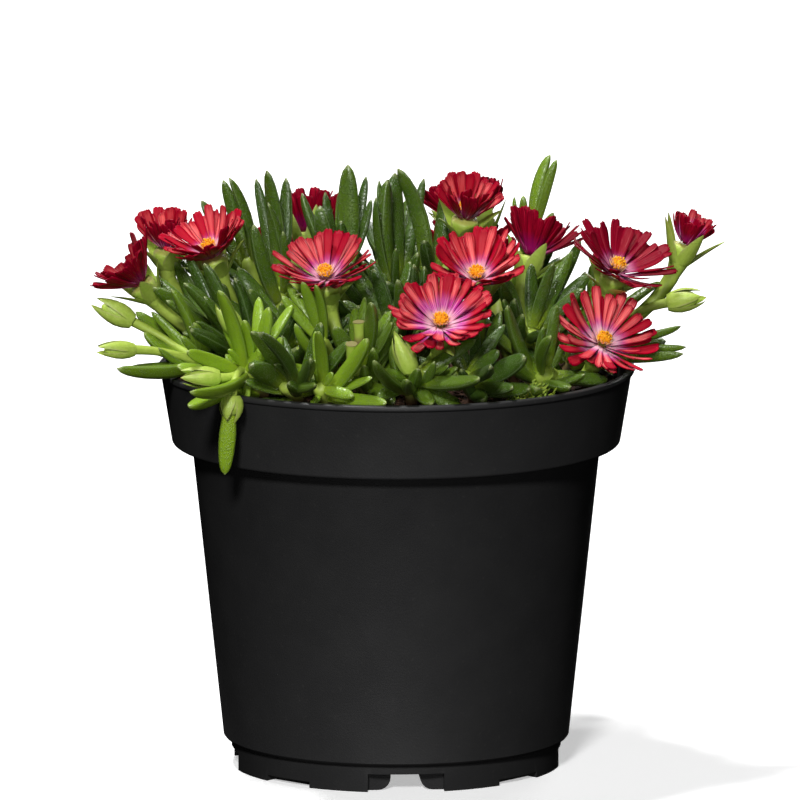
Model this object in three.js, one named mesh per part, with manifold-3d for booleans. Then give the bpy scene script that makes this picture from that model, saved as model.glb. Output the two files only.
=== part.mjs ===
// Potted ice plant: a black plastic nursery pot, its peat, leafy shoots and their flowers.
// Millimetres, +Z up, the origin at the middle of the pot's underside, the plant's front towards -Y.
import * as THREE from "three";
import { mergeVertices } from "three/addons/utils/BufferGeometryUtils.js";
import Module from "manifold-3d";

const wasm = await Module();
wasm.setup();

// Pot
const POT_HEIGHT = 110;
const RIM_RADIUS = 65;
const LIP_HEIGHT = 1.6;
const COLLAR_TOP_RADIUS = 64.2;
const COLLAR_FOOT_RADIUS = 61.2;
const COLLAR_FOOT = 89;
const BODY_TOP_RADIUS = 55.7;
const BODY_FOOT_RADIUS = 47.2;
const COLLAR_BEVEL = 0.8;
const LEDGE = 8;
const FOOT_RADIUS = 45;
const WALL = 1.2;
const POT_SIDES = 32;

// Drainage grooves under the floor, notches in the foot and drain holes
const GROOVES = 4;
const GROOVE_TURN = 3.5;
const GROOVE_WIDTH = 8;
const GROOVE_FLARE = 3.5;
const GROOVE_HEIGHT = 5;
const GROOVE_INNER_RADIUS = 14;
const TALL_NOTCH_WIDTH = 20.8;
const LOW_NOTCH_WIDTH = 15.4;
const LOW_NOTCH_HEIGHT = 1.7;
const NOTCH_DEPTH = 4;
const DRAIN_RADIUS = 2.5;
const DRAIN_PLACE = 30;
const DRAIN_DEPTH = 8;
const DRAIN_SIDES = 10;
const GROOVE_CORNER_STEPS = 3;

// Peat
const SOIL_TOP = 103.6;
const SOIL_BUMP = 0.7;
const SOIL_BROAD_WAVES = [3.2, 3.7];
const SOIL_FINE_WAVES = [1.4, 1.7];
const SOIL_FINE_SHARE = 0.4;
const SOIL_RINGS = [50, 32, 14, 0];
const SOIL_SIDES = 20;
const HOLE_RADIUS = 2.4;
const HOLE_SIDES = 5;
const HOLE_DEPTH = 7;

// Space kept between pieces that lie against each other
const GAP = 0.3;
const SOIL_GAP = 0.5;
const RIM_CLEARANCE = 3;

// Faces this flat count as one face, and steps smaller than this are left out where pieces are joined
const FLATNESS = 0.002;
const SMALLEST_STEP = 0.1;
const SAME_CORNER = 1e-4;

// The view that the plant's places were read in: pixels, with a depth in millimetres behind the pot's axis
const AXIS_X = 396.2;
const GROUND_Y = 762;
const PIXELS_PER_MM = 3.668;
const TILT = THREE.MathUtils.degToRad(10.1);
const RIGHT = new THREE.Vector3(1, 0, 0);
const UP = new THREE.Vector3(0, Math.sin(TILT), Math.cos(TILT));
const TOWARD = new THREE.Vector3(0, -Math.cos(TILT), Math.sin(TILT));

// Leaves: share of the length, and width there as a share of the widest
const LEAF_OUTLINE = [
  [0, 0.45],
  [0.45, 1],
  [0.84, 0.7],
  [1, 0],
];
const SHORT_LEAF_OUTLINE = [
  [0, 0.45],
  [0.55, 1],
  [1, 0],
];
const LEAF_ARCH = 0.09;
const ROOT_OFFSET = 1.6;
const OWN_CLEARANCE = 0.8;
const OWN_START = 0.3;

// Leaves placed by rule: opposite pairs, each turned a quarter from the last, leaning less towards the crown
const LOWEST_PAIR = 0.15;
const PAIR_LENGTH = [22, 31];
const PAIR_WIDTH = [4.8, 6.2];
const PAIR_LEAN = 62;
const PAIR_LEAN_DROP = 34;
const PAIR_LEAN_DRAW = 8;
const PAIR_TURN_DRAW = 0.3;

// Three-angled section of a leaf: its keel, then the edges of its face, as shares of half the width and of
// the width
const LEAF_SECTION = [
  [0, -0.5],
  [-1, 0.2],
  [1, 0.2],
];

// Stems and stalks
const STEM_RADIUS = 1.6;
const STEM_SIDES = 4;
const STEM_PEG_SHARE = 0.3;
const STEM_STRAIGHT = 3;
const STEM_LEAN = 0.2;
const STEM_OUTLINE = [
  [0, 1],
  [STEM_PEG_SHARE, 1],
  [0.6, 1.8],
  [1, 1.6],
];
const STALK_SIDES = 3;
const STALK_OUTLINE = [
  [0, 1],
  [0.55, 0.95],
  [1, 0.85],
];

// A closed bud: a spindle with a waist
const BUD_SIDES = 5;
const BUD_SUNK = 0.8;
const BUD_STALK_SHARE = 0.5;
const BUD_STALK_WIDEST = 2.6;
const BUD_OUTLINE = [
  [0, 0.4],
  [0.28, 1],
  [0.6, 0.72],
  [1, 0],
];

// Flowers
const PETAL_LENGTH = 13;
const PETAL_WIDTH = 2.3;
const PETAL_THICKNESS = 0.7;
const PETAL_OUTLINE = [
  [0, 0.5],
  [1, 1],
];
const DISC_RADIUS = 2.6;
const DISC_HEIGHT = 0.45;
const PETAL_TURN_DRAW = 0.12;
const PETAL_SPREAD_DRAW = 4;
const PETAL_LENGTH_DRAW = [0.92, 1.06];
const PETAL_WIDTH_DRAW = [0.9, 1.08];
const INNER_LAYER_TILT = 12;
const INNER_LAYER_SHARE = 0.92;
const INNER_LAYER_RISE = 0.95;
const HUB_RADIUS = 2;
const HUB_SIDES = 4;
const BOSS_RADIUS = 2;
const BOSS_HEIGHT = 3.2;
const BOSS_CENTRE = 3.7;
const HALF_OPEN_SPREAD = 30;
const HALF_OPEN_BOSS_SHARE = 0.7;
const CALYX_LENGTH = 8.6;
const CALYX_RADIUS = 3.6;
const CALYX_SHOULDER = 1.8;
const CALYX_MOUTH_RADIUS = 2.4;
const CALYX_SPACE = [
  [-6, 2],
  [-3, 2.7],
];
const SEPALS = 5;
const SEPAL_LENGTH = 8;
const SEPAL_LENGTH_DRAW = [0.85, 1.2];
const SEPAL_START = 1.6;
const SEPAL_TILT = 16;
const SEPAL_TILT_DRAW = [-3, 5];
const SEPAL_FLATTEST = 86;
const SEPAL_WIDTH = 3;
const SEPAL_OUTLINE = [
  [0, 0.8],
  [0.3, 1],
  [1, 0.3],
];
const PEDICEL_RADIUS = 1.8;
const BLOOM_MIDDLE = 5;
const BLOOM_DEPTH = 4;
const BLOOM_CLEARANCE = 12;
const STALK_SUNK = 1.3;
const STALK_BEND = 0.45;

const COLOURS = {
  pot: { color: "#1b1b1c", roughness: 0.55 },
  soil: { color: "#2b1a12", roughness: 0.95 },
  leaf: { color: "#4d7a26", roughness: 0.4 },
  petal: { color: "#b3162f", roughness: 0.5 },
  pollen: { color: "#f2a516", roughness: 0.7 },
};

// Stems that stand in the peat (foot) or fork from another (parent), and the leaves and buds on each.
// crown, tip and base are places in the view and a depth. wide is in pixels. from is how far up the stem.
const SHOOTS = [
  {
    name: "shoot_left_rim",
    foot: [-50, -12],
    crown: [197, 360, -15],
    leaves: [
      { tip: [121, 368, -20], wide: 15, from: 1 },
      { tip: [136, 312, 2], wide: 15, from: 1 },
      { tip: [152, 312, -10], wide: 11, from: 1 },
    ],
    buds: [
      { base: [134, 322, -10], tip: [97, 303, -12], wide: 25, from: 1 },
      { base: [137, 350, -22], tip: [100, 350, -26], wide: 19, from: 0.8 },
    ],
    pairs: 4,
  },
  {
    name: "shoot_left_flank",
    foot: [-42, 5],
    crown: [214, 342, -2],
    leaves: [
      { tip: [152, 276, 4], wide: 20, from: 1 },
      { tip: [154, 288, -8], wide: 20, from: 0.9 },
      { tip: [167, 301, -14], wide: 15, from: 0.8 },
      { tip: [175, 262, 12], wide: 18, from: 1 },
    ],
    buds: [],
    pairs: 5,
  },
  {
    name: "shoot_left_upright",
    foot: [-37, -14],
    crown: [226, 350, -21],
    leaves: [
      { tip: [205, 264, -20], wide: 20, from: 0.8 },
      { tip: [190, 327, -26], wide: 11, from: 0.7 },
      { tip: [197, 322, -22], wide: 11, from: 0.8 },
      { tip: [187, 254, -6], wide: 16, from: 1 },
    ],
    buds: [],
    pairs: 5,
  },
  {
    name: "shoot_left_star",
    foot: [-36, -31],
    crown: [242, 371, -42],
    leaves: [
      { tip: [191, 406, -57], wide: 21, from: 1 },
      { tip: [275, 344, -47], wide: 16, from: 1 },
      { tip: [192, 371, -50], wide: 13, from: 0.9 },
      { tip: [293, 306, -35], wide: 12, from: 0.8, arch: 0.3 },
      { tip: [243, 325, -38], wide: 9, from: 0.8 },
      { tip: [230, 350, -46], wide: 9, from: 1 },
      { tip: [247, 404, -57], wide: 9, from: 0.8 },
    ],
    buds: [
      { base: [222, 378, -49], tip: [184, 377, -52], wide: 22, from: 1 },
      { base: [241, 335, -36], tip: [219, 304, -38], wide: 22, from: 0.8 },
      { base: [234, 395, -53], tip: [231, 421, -55], wide: 25, from: 1 },
    ],
    trailing: { root: [231, 412, -54.5], tip: [226, 474, -52], wide: 17 },
    pairs: 2,
  },
  {
    name: "shoot_front_left",
    foot: [-26, -38],
    crown: [284, 386, -46],
    leaves: [
      { tip: [252, 366, -52], wide: 24, from: 0.9 },
      { tip: [314, 377, -53], wide: 20, from: 0.7, arch: 0.3 },
      { tip: [289, 383, -54], wide: 14, from: 0.6 },
    ],
    buds: [],
    pairs: 4,
  },
  {
    name: "shoot_front_star",
    foot: [-19, -46],
    crown: [320, 388, -53],
    leaves: [
      { tip: [354, 396, -58], wide: 14, from: 1 },
      { tip: [333, 373, -55], wide: 9, from: 1 },
      { tip: [313, 405, -60], wide: 9, from: 0.9 },
      { tip: [316, 332, -50], wide: 11, from: 0.9 },
    ],
    buds: [],
    pairs: 2,
  },
  {
    name: "shoot_young",
    foot: [-17, -24],
    crown: [321, 340, -33],
    leaves: [
      { tip: [283, 297, -36], wide: 13, from: 1 },
      { tip: [288, 284, -30], wide: 13, from: 1 },
      { tip: [303, 283, -34], wide: 14, from: 0.9 },
      { tip: [316, 286, -38], wide: 12, from: 1 },
    ],
    buds: [],
    pairs: 4,
  },
  {
    name: "shoot_front_cut",
    foot: [-8, -33],
    crown: [357, 368, -40],
    leaves: [
      { tip: [335, 328, -47], wide: 18, from: 0.9 },
      { tip: [391, 312, -40], wide: 16, from: 1 },
      { tip: [364, 366, -53], wide: 14, from: 0.4 },
      { tip: [365, 298, -30], wide: 12, from: 1 },
    ],
    buds: [],
    pairs: 3,
  },
  {
    name: "shoot_front_middle",
    foot: [4, -41],
    crown: [415, 377, -47],
    leaves: [
      { tip: [378, 398, -54], wide: 16, from: 0.9 },
      { tip: [384, 371, -56], wide: 12, from: 1 },
      { tip: [431, 404, -58], wide: 19, from: 0.8 },
      { tip: [475, 340, -42], wide: 15, from: 1 },
      { tip: [448, 366, -52], wide: 9, from: 0.9 },
    ],
    buds: [{ base: [412, 374, -50], tip: [395, 335, -50], wide: 22, from: 1 }],
    pairs: 2,
  },
  {
    name: "shoot_front_right",
    foot: [21, -32],
    crown: [464, 376, -42],
    leaves: [
      { tip: [504, 325, -34], wide: 14, from: 0.9 },
      { tip: [498, 351, -44], wide: 16, from: 0.9 },
      { tip: [524, 358, -50], wide: 25, from: 0.6 },
      { tip: [482, 400, -56], wide: 18, from: 0.5 },
    ],
    buds: [],
    pairs: 4,
  },
  {
    name: "shoot_right_front",
    foot: [38, -22],
    crown: [548, 372, -28],
    leaves: [
      { tip: [607, 380, -34], wide: 17, from: 0.8 },
      { tip: [608, 364, -22], wide: 14, from: 0.9 },
      { tip: [546, 338, -38], wide: 13, from: 0.9 },
      { tip: [556, 306, -22], wide: 14, from: 1 },
    ],
    buds: [],
    pairs: 4,
  },
  {
    name: "shoot_right_flank",
    foot: [46, 3],
    crown: [608, 334, 6],
    leaves: [
      { tip: [686, 347, 2], wide: 13, from: 0.9 },
      { tip: [681, 326, 8], wide: 13, from: 1 },
      { tip: [662, 282, 12], wide: 16, from: 1 },
      { tip: [592, 264, 12], wide: 14, from: 0.9 },
    ],
    buds: [{ base: [666, 303, 4], tip: [704, 297, 2], wide: 24, from: 1 }],
    pairs: 4,
  },
  {
    name: "shoot_right_middle",
    foot: [32, 2],
    crown: [534, 332, -8],
    leaves: [
      { tip: [531, 264, -6], wide: 16, from: 1 },
      { tip: [553, 264, -12], wide: 14, from: 1 },
      { tip: [572, 252, 2], wide: 16, from: 1 },
      { tip: [503, 300, -20], wide: 13, from: 0.9 },
    ],
    buds: [],
    pairs: 5,
  },
  {
    name: "shoot_right_back",
    foot: [30, 32],
    crown: [541, 222, 35],
    leaves: [
      { tip: [551, 154, 38], wide: 19, from: 1 },
      { tip: [557, 159, 31], wide: 13, from: 1 },
      { tip: [524, 195, 30], wide: 13, from: 0.85 },
      { tip: [515, 196, 36], wide: 9, from: 0.8 },
      { tip: [554, 212, 30], wide: 9, from: 0.9 },
    ],
    buds: [],
    pairs: 6,
  },
  {
    name: "shoot_top_middle",
    foot: [-2, 10],
    crown: [398, 290, 8],
    leaves: [
      { tip: [388, 180, 6], wide: 26, from: 1 },
      { tip: [395, 173, 14], wide: 27, from: 1 },
      { tip: [379, 180, 16], wide: 12, from: 0.9 },
      { tip: [376, 198, 2], wide: 13, from: 1 },
      { tip: [396, 249, -4], wide: 10, from: 1 },
    ],
    buds: [],
    pairs: 5,
  },
  {
    name: "shoot_top_right",
    foot: [13, 14],
    crown: [430, 272, 13],
    leaves: [
      { tip: [398, 169, 10], wide: 21, from: 1, arch: 0.25 },
      { tip: [443, 194, 8], wide: 20, from: 1 },
      { tip: [424, 241, -4], wide: 16, from: 1 },
    ],
    buds: [],
    pairs: 5,
  },
  {
    name: "shoot_top_left_middle",
    foot: [-14, 16],
    crown: [345, 264, 15],
    leaves: [
      { tip: [348, 165, 16], wide: 25, from: 1 },
      { tip: [342, 188, 24], wide: 18, from: 1 },
      { tip: [366, 176, 26], wide: 13, from: 1 },
      { tip: [341, 221, 5], wide: 15, from: 1 },
      { tip: [320, 206, 10], wide: 26, from: 0.9 },
      { tip: [302, 193, 14], wide: 16, from: 0.9 },
      { tip: [325, 192, 24], wide: 14, from: 0.9 },
    ],
    buds: [],
    pairs: 5,
  },
  {
    name: "shoot_top_left",
    foot: [-29, 10],
    crown: [277, 288, 5],
    leaves: [
      { tip: [286, 178, 12], wide: 18, from: 1 },
      { tip: [267, 171, 8], wide: 20, from: 1 },
      { tip: [268, 203, 2], wide: 13, from: 0.9 },
      { tip: [254, 225, -4], wide: 20, from: 0.9 },
      { tip: [283, 232, -6], wide: 14, from: 1 },
    ],
    buds: [],
    pairs: 4,
  },
  {
    name: "shoot_left_back",
    foot: [-36, 22],
    crown: [246, 258, 18],
    leaves: [
      { tip: [223, 180, 20], wide: 15, from: 1 },
      { tip: [229, 178, 15], wide: 17, from: 1 },
      { tip: [201, 200, 26], wide: 16, from: 0.9 },
      { tip: [147, 213, 26], wide: 12, from: 0.6 },
      { tip: [138, 228, 14], wide: 12, from: 0.5 },
    ],
    buds: [],
    pairs: 4,
  },
  {
    name: "shoot_middle_left",
    foot: [-27, -8],
    crown: [296, 350, -13],
    leaves: [
      { tip: [238, 268, -2], wide: 21, from: 1 },
      { tip: [224, 300, -14], wide: 20, from: 0.9 },
      { tip: [250, 290, -18], wide: 18, from: 1 },
    ],
    buds: [],
    pairs: 6,
  },
  {
    name: "shoot_middle",
    foot: [3, -12],
    crown: [388, 330, -17],
    leaves: [
      { tip: [373, 270, -18], wide: 18, from: 1 },
      { tip: [410, 262, -14], wide: 18, from: 1 },
      { tip: [350, 262, -14], wide: 18, from: 0.9 },
    ],
    buds: [],
    pairs: 6,
  },
  { name: "shoot_back_left", foot: [-30, 40], crown: [250, 268, 52], leaves: [], buds: [], pairs: 7 },
  { name: "shoot_back", foot: [0, 45], crown: [388, 250, 60], leaves: [], buds: [], pairs: 8 },
  { name: "shoot_back_right", foot: [28, 46], crown: [500, 268, 56], leaves: [], buds: [], pairs: 7 },
];

// Open flowers: the cup's place, the way it faces (right, up, towards the viewer), how far its petals
// stand from its axis in degrees, and how many there are in the outer and the inner layer. reach is the
// petals' share of the full length, back is how much shorter those on the far side are, and sepals is the
// sepals' share of their full length.
const FLOWERS = [
  {
    name: "flower_left_side", on: "shoot_left_flank", from: 0.9,
    cup: [141, 283, -4], facing: [-0.6, 0.7, 0.36], spread: 37,
    petals: [10, 7],
    reach: 1, back: 0.6,
  },
  {
    name: "flower_left_back", on: "shoot_left_back", from: 0.7,
    cup: [166, 248, 17], facing: [-0.04, 0.9, 0.42], spread: 33,
    petals: [10, 7],
    reach: 0.75,
  },
  {
    name: "flower_left", on: "shoot_left_back", from: 0.3,
    cup: [213, 257, -3], facing: [-0.34, 0.88, 0.34], spread: 50,
    petals: [12, 9],
    reach: 0.98,
  },
  {
    name: "flower_middle_left", on: "shoot_front_cut", from: 0.8,
    cup: [327, 283, -24], facing: [-0.12, 0.87, 0.47], spread: 56,
    petals: [12, 9],
    reach: 1.06,
  },
  {
    name: "flower_back_left", on: "shoot_top_left_middle", from: 0.6,
    cup: [308, 231, 38], facing: [0, 0.98, -0.15], spread: 13,
    petals: [9, 6],
    reach: 0.85,
  },
  {
    name: "flower_back_middle", on: "shoot_top_left_middle", from: 0.7,
    cup: [340, 234, 58], facing: [0.05, 0.98, -0.1], spread: 15,
    petals: [8, 5],
    reach: 0.85,
  },
  {
    name: "flower_top_left", on: "shoot_top_right", from: 0.8,
    cup: [457, 217, 31], facing: [-0.45, 0.88, -0.1], spread: 19,
    petals: [9, 6],
    reach: 0.8,
  },
  {
    name: "flower_top", on: "shoot_top_right", from: 0.9,
    cup: [465, 217, 12], facing: [0.1, 0.84, 0.53], spread: 40,
    petals: [12, 8],
    reach: 0.82,
  },
  {
    name: "flower_top_back", on: "shoot_top_right", from: 0.7,
    cup: [482, 215, 50], facing: [0.02, 0.97, -0.1], spread: 15,
    petals: [9, 5],
    reach: 0.78,
  },
  {
    name: "flower_middle_right", on: "shoot_front_right", from: 0.5,
    cup: [477, 283, -18], facing: [-0.05, 0.82, 0.57], spread: 48,
    petals: [13, 10],
    reach: 1.06,
  },
  {
    name: "flower_front", on: "shoot_front_middle", from: 1,
    cup: [440, 329, -42], facing: [0.05, 0.72, 0.69], spread: 59,
    petals: [14, 11],
    reach: 1.02,
  },
  {
    name: "flower_dark", on: "shoot_right_middle", from: 0.8,
    cup: [532, 256, 13], facing: [0.28, 0.94, -0.1], spread: 42,
    petals: [10, 7],
    reach: 1,
  },
  {
    name: "flower_right", on: "shoot_right_flank", from: 0.9,
    cup: [614, 275, -3], facing: [0.34, 0.84, 0.42], spread: 57,
    petals: [13, 9],
    reach: 1.1,
  },
  {
    name: "flower_right_low", on: "shoot_right_front", from: 0.9,
    cup: [600, 347, -14], facing: [0.28, 0.69, 0.67], spread: 61,
    petals: [13, 9],
    reach: 1.1,
  },
  {
    name: "flower_half_open", on: "shoot_right_flank", from: 0.8,
    cup: [686, 244, 12], facing: [0.38, 0.9, 0.2], spread: 28,
    petals: [9, 5],
    reach: 0.62, sepals: 1.3,
  },
  {
    name: "flower_back_one", on: "shoot_back_left", from: 0.9,
    cup: [292, 262, 66], facing: [-0.1, 0.8, -0.6], spread: 60,
    petals: [9, 6],
  },
  {
    name: "flower_back_two", on: "shoot_back_right", from: 0.9,
    cup: [470, 258, 70], facing: [0.1, 0.8, -0.6], spread: 60,
    petals: [9, 6],
  },
];

// Outline of the clump in the view, under which the leaves placed by rule stay.
const OUTLINE = [
  [90, 350],
  [130, 300],
  [170, 270],
  [215, 225],
  [260, 205],
  [340, 190],
  [420, 195],
  [500, 215],
  [560, 235],
  [600, 270],
  [650, 300],
  [700, 350],
];

// A place in the view, with a depth behind the pot's axis, as a point of the model.
function inView([x, y, depth]) {
  const up = (GROUND_Y - y) / PIXELS_PER_MM;
  const z = (up - depth * Math.sin(TILT)) / Math.cos(TILT);
  return new THREE.Vector3((x - AXIS_X) / PIXELS_PER_MM, depth, z);
}

// Even random draws between low and high, the same ones each time for a seed.
function draws(seed) {
  let state = (seed * 7919 + 104729) % 2147483647;
  return (low, high) => {
    state = (state * 16807) % 2147483647;
    return low + ((high - low) * state) / 2147483647;
  };
}

// A closed solid from a geometry whose shared corners are merged.
function solidFrom(geometry) {
  const bare = new THREE.BufferGeometry();
  bare.setAttribute("position", geometry.getAttribute("position"));
  bare.setIndex(geometry.getIndex());
  const merged = mergeVertices(bare, SAME_CORNER);
  const solid = new wasm.Manifold(
    new wasm.Mesh({
      numProp: 3,
      vertProperties: merged.getAttribute("position").array,
      triVerts: new Uint32Array(merged.getIndex().array),
    }),
  );
  return solid.setTolerance(FLATNESS);
}

// The largest body of some joined solids as a named mesh. Loose scraps and sealed hollows are left out.
function meshFrom(name, solids, finish) {
  const joined = wasm.Manifold.union(solids).simplify(SMALLEST_STEP);
  const bodies = joined.decompose().sort((a, b) => b.volume() - a.volume());
  const made = bodies[0].getMesh();
  const geometry = new THREE.BufferGeometry();
  const corners = new Float32Array(made.numVert * 3);
  for (let i = 0; i < made.numVert; i++) {
    corners.set(made.vertProperties.subarray(i * made.numProp, i * made.numProp + 3), i * 3);
  }
  geometry.setAttribute("position", new THREE.BufferAttribute(corners, 3));
  geometry.setIndex(new THREE.BufferAttribute(new Uint32Array(made.triVerts), 1));
  geometry.computeVertexNormals();
  const material = new THREE.MeshStandardMaterial({ ...finish, metalness: 0, flatShading: true });
  const mesh = new THREE.Mesh(geometry, material);
  mesh.name = name;
  return mesh;
}

// A box that reaches outward from a radius, turned about the pot's axis from the front towards +X.
function radialBox(width, inner, outer, height, turn) {
  const box = new THREE.BoxGeometry(width, outer - inner, height + 1);
  box.translate(0, -(inner + outer) / 2, (height - 1) / 2);
  box.rotateZ(THREE.MathUtils.degToRad(turn));
  return solidFrom(box);
}

// A drainage groove: straight sides above, flaring to rounded edges at the ground.
function groove(turn) {
  const half = GROOVE_WIDTH / 2;
  const shape = new THREE.Shape();
  shape.moveTo(-half - GROOVE_FLARE, -1);
  shape.lineTo(-half - GROOVE_FLARE, 0);
  shape.quadraticCurveTo(-half, 0, -half, GROOVE_FLARE);
  shape.lineTo(-half, GROOVE_HEIGHT);
  shape.lineTo(half, GROOVE_HEIGHT);
  shape.lineTo(half, GROOVE_FLARE);
  shape.quadraticCurveTo(half, 0, half + GROOVE_FLARE, 0);
  shape.lineTo(half + GROOVE_FLARE, -1);
  const length = FOOT_RADIUS + 2 - GROOVE_INNER_RADIUS;
  const cut = new THREE.ExtrudeGeometry(shape, {
    depth: length,
    bevelEnabled: false,
    curveSegments: GROOVE_CORNER_STEPS,
  });
  cut.rotateX(Math.PI / 2);
  cut.translate(0, -GROOVE_INNER_RADIUS, 0);
  cut.rotateZ(THREE.MathUtils.degToRad(turn));
  return solidFrom(cut);
}

// The pot's inside, shrunk by a gap.
function cavityProfile(gap, top) {
  const collarRise = (top - COLLAR_FOOT) / (POT_HEIGHT - COLLAR_FOOT);
  const collarRadius = COLLAR_FOOT_RADIUS + (COLLAR_TOP_RADIUS - COLLAR_FOOT_RADIUS) * collarRise;
  return [
    [0, WALL + gap],
    [FOOT_RADIUS - 2 * WALL - gap, WALL + gap],
    [FOOT_RADIUS - WALL - gap, LEDGE],
    [BODY_FOOT_RADIUS - WALL - gap, LEDGE + 2 * WALL],
    [BODY_TOP_RADIUS - WALL - gap, COLLAR_FOOT + WALL + gap],
    [COLLAR_FOOT_RADIUS - WALL - gap, COLLAR_FOOT + 2 * WALL + gap],
    [collarRadius - WALL - gap, top],
    [0, top],
  ];
}

// A solid of revolution from radius and height pairs that start and end on the axis.
function turned(profile, sides) {
  const points = profile.map(([radius, height]) => new THREE.Vector2(radius, height));
  const lathe = new THREE.LatheGeometry(points, sides);
  lathe.rotateX(Math.PI / 2);
  return lathe;
}

// Covers that keep the floor closed above the grooves and behind the notches.
function floorCovers(gap) {
  const covers = [];
  for (let i = 0; i < GROOVES; i++) {
    const turn = GROOVE_TURN + (i * 360) / GROOVES;
    const between = turn + 180 / GROOVES;
    const inner = GROOVE_INNER_RADIUS - WALL - gap;
    const width = GROOVE_WIDTH + 2 * GROOVE_FLARE + 2 * (WALL + gap);
    const height = GROOVE_HEIGHT + WALL + gap;
    const behind = FOOT_RADIUS - NOTCH_DEPTH - WALL - gap;
    covers.push(radialBox(width, inner, FOOT_RADIUS + 1, height, turn));
    covers.push(radialBox(TALL_NOTCH_WIDTH + 2 * (WALL + gap), behind, FOOT_RADIUS + 1, height, turn));
    const low = LOW_NOTCH_HEIGHT + WALL + gap;
    covers.push(radialBox(LOW_NOTCH_WIDTH + 2 * (WALL + gap), behind, FOOT_RADIUS + 1, low, between));
  }
  return covers;
}

function pot() {
  const outside = solidFrom(
    turned(
      [
        [0, 0],
        [FOOT_RADIUS, 0],
        [FOOT_RADIUS, LEDGE - 1],
        [BODY_FOOT_RADIUS, LEDGE],
        [BODY_TOP_RADIUS, COLLAR_FOOT],
        [COLLAR_FOOT_RADIUS - COLLAR_BEVEL, COLLAR_FOOT],
        [COLLAR_FOOT_RADIUS, COLLAR_FOOT + COLLAR_BEVEL],
        [COLLAR_TOP_RADIUS, POT_HEIGHT - LIP_HEIGHT],
        [RIM_RADIUS, POT_HEIGHT - LIP_HEIGHT],
        [RIM_RADIUS, POT_HEIGHT],
        [0, POT_HEIGHT],
      ],
      POT_SIDES,
    ),
  );
  const inside = solidFrom(turned(cavityProfile(0, POT_HEIGHT + 1), POT_SIDES));
  let made = outside.subtract(inside.subtract(wasm.Manifold.union(floorCovers(0))));
  for (let i = 0; i < GROOVES; i++) {
    const turn = GROOVE_TURN + (i * 360) / GROOVES;
    const between = turn + 180 / GROOVES;
    const behind = FOOT_RADIUS - NOTCH_DEPTH;
    made = made.subtract(groove(turn));
    made = made.subtract(radialBox(TALL_NOTCH_WIDTH, behind, FOOT_RADIUS + 2, GROOVE_HEIGHT, turn));
    made = made.subtract(radialBox(LOW_NOTCH_WIDTH, behind, FOOT_RADIUS + 2, LOW_NOTCH_HEIGHT, between));
    const drain = new THREE.CylinderGeometry(DRAIN_RADIUS, DRAIN_RADIUS, DRAIN_DEPTH, DRAIN_SIDES);
    drain.rotateX(Math.PI / 2);
    drain.translate(0, -DRAIN_PLACE, GROOVE_HEIGHT);
    drain.rotateZ(THREE.MathUtils.degToRad(turn));
    made = made.subtract(solidFrom(drain));
  }
  return meshFrom("pot", [made], COLOURS.pot);
}

// Height of the peat's crumbly top.
function soilHeight(x, y) {
  const broad = Math.sin(x / SOIL_BROAD_WAVES[0]) * Math.cos(y / SOIL_BROAD_WAVES[1]);
  const fine = Math.sin(x / SOIL_FINE_WAVES[0] - y / SOIL_FINE_WAVES[1]);
  return SOIL_TOP + SOIL_BUMP * (broad + SOIL_FINE_SHARE * fine);
}

function soil() {
  const profile = cavityProfile(SOIL_GAP, SOIL_TOP).slice(0, -1);
  for (const radius of SOIL_RINGS) {
    profile.push([radius, SOIL_TOP]);
  }
  const plug = turned(profile, SOIL_SIDES);
  const corners = plug.getAttribute("position");
  for (let i = 0; i < corners.count; i++) {
    const [x, y, z] = [corners.getX(i), corners.getY(i), corners.getZ(i)];
    if (z > SOIL_TOP - SMALLEST_STEP && Math.hypot(x, y) < SOIL_RINGS[0] + 1) {
      corners.setZ(i, soilHeight(x, y));
    }
  }
  let made = solidFrom(plug).subtract(wasm.Manifold.union(floorCovers(SOIL_GAP)));
  for (const shoot of SHOOTS) {
    const hole = new THREE.CylinderGeometry(HOLE_RADIUS, HOLE_RADIUS, HOLE_DEPTH + 4, HOLE_SIDES);
    hole.rotateX(Math.PI / 2);
    hole.translate(shoot.foot[0], shoot.foot[1], SOIL_TOP - HOLE_DEPTH / 2 + 2);
    made = made.subtract(solidFrom(hole));
  }
  return meshFrom("soil", [made], COLOURS.soil);
}

// Points with radii that pieces already fill, so that later ones keep clear of them.
const filled = [];

function clearOfPot(point, radius) {
  const reach = Math.hypot(point.x, point.y);
  const overPeat = point.z - radius > SOIL_TOP + SOIL_BUMP * (1 + SOIL_FINE_SHARE) + GAP;
  const inside = reach + radius < RIM_RADIUS - RIM_CLEARANCE && overPeat;
  const outside = reach - radius > RIM_RADIUS + GAP;
  return point.z - radius > POT_HEIGHT + GAP || inside || outside;
}

// Leaves of one shoot may meet near their roots, but not further out.
function clearOfOthers(node, balls) {
  return balls.every(({ point, radius, share }) =>
    filled.every((other) => {
      const own = other.node === node;
      if (own && (share < OWN_START || other.share < OWN_START)) return true;
      const near = own ? (radius + other.radius) * OWN_CLEARANCE : radius + other.radius + GAP;
      return point.distanceToSquared(other.point) > near * near;
    }),
  );
}

function fill(node, balls) {
  for (const ball of balls) {
    filled.push({ node, ...ball });
  }
}

// The corners of a round section, as shares of half the width and the width.
function roundSection(sides) {
  return Array.from({ length: sides }, (_, i) => {
    const turn = (i * 2 * Math.PI) / sides;
    return [Math.sin(turn), 0.5 * Math.cos(turn)];
  });
}

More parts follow.
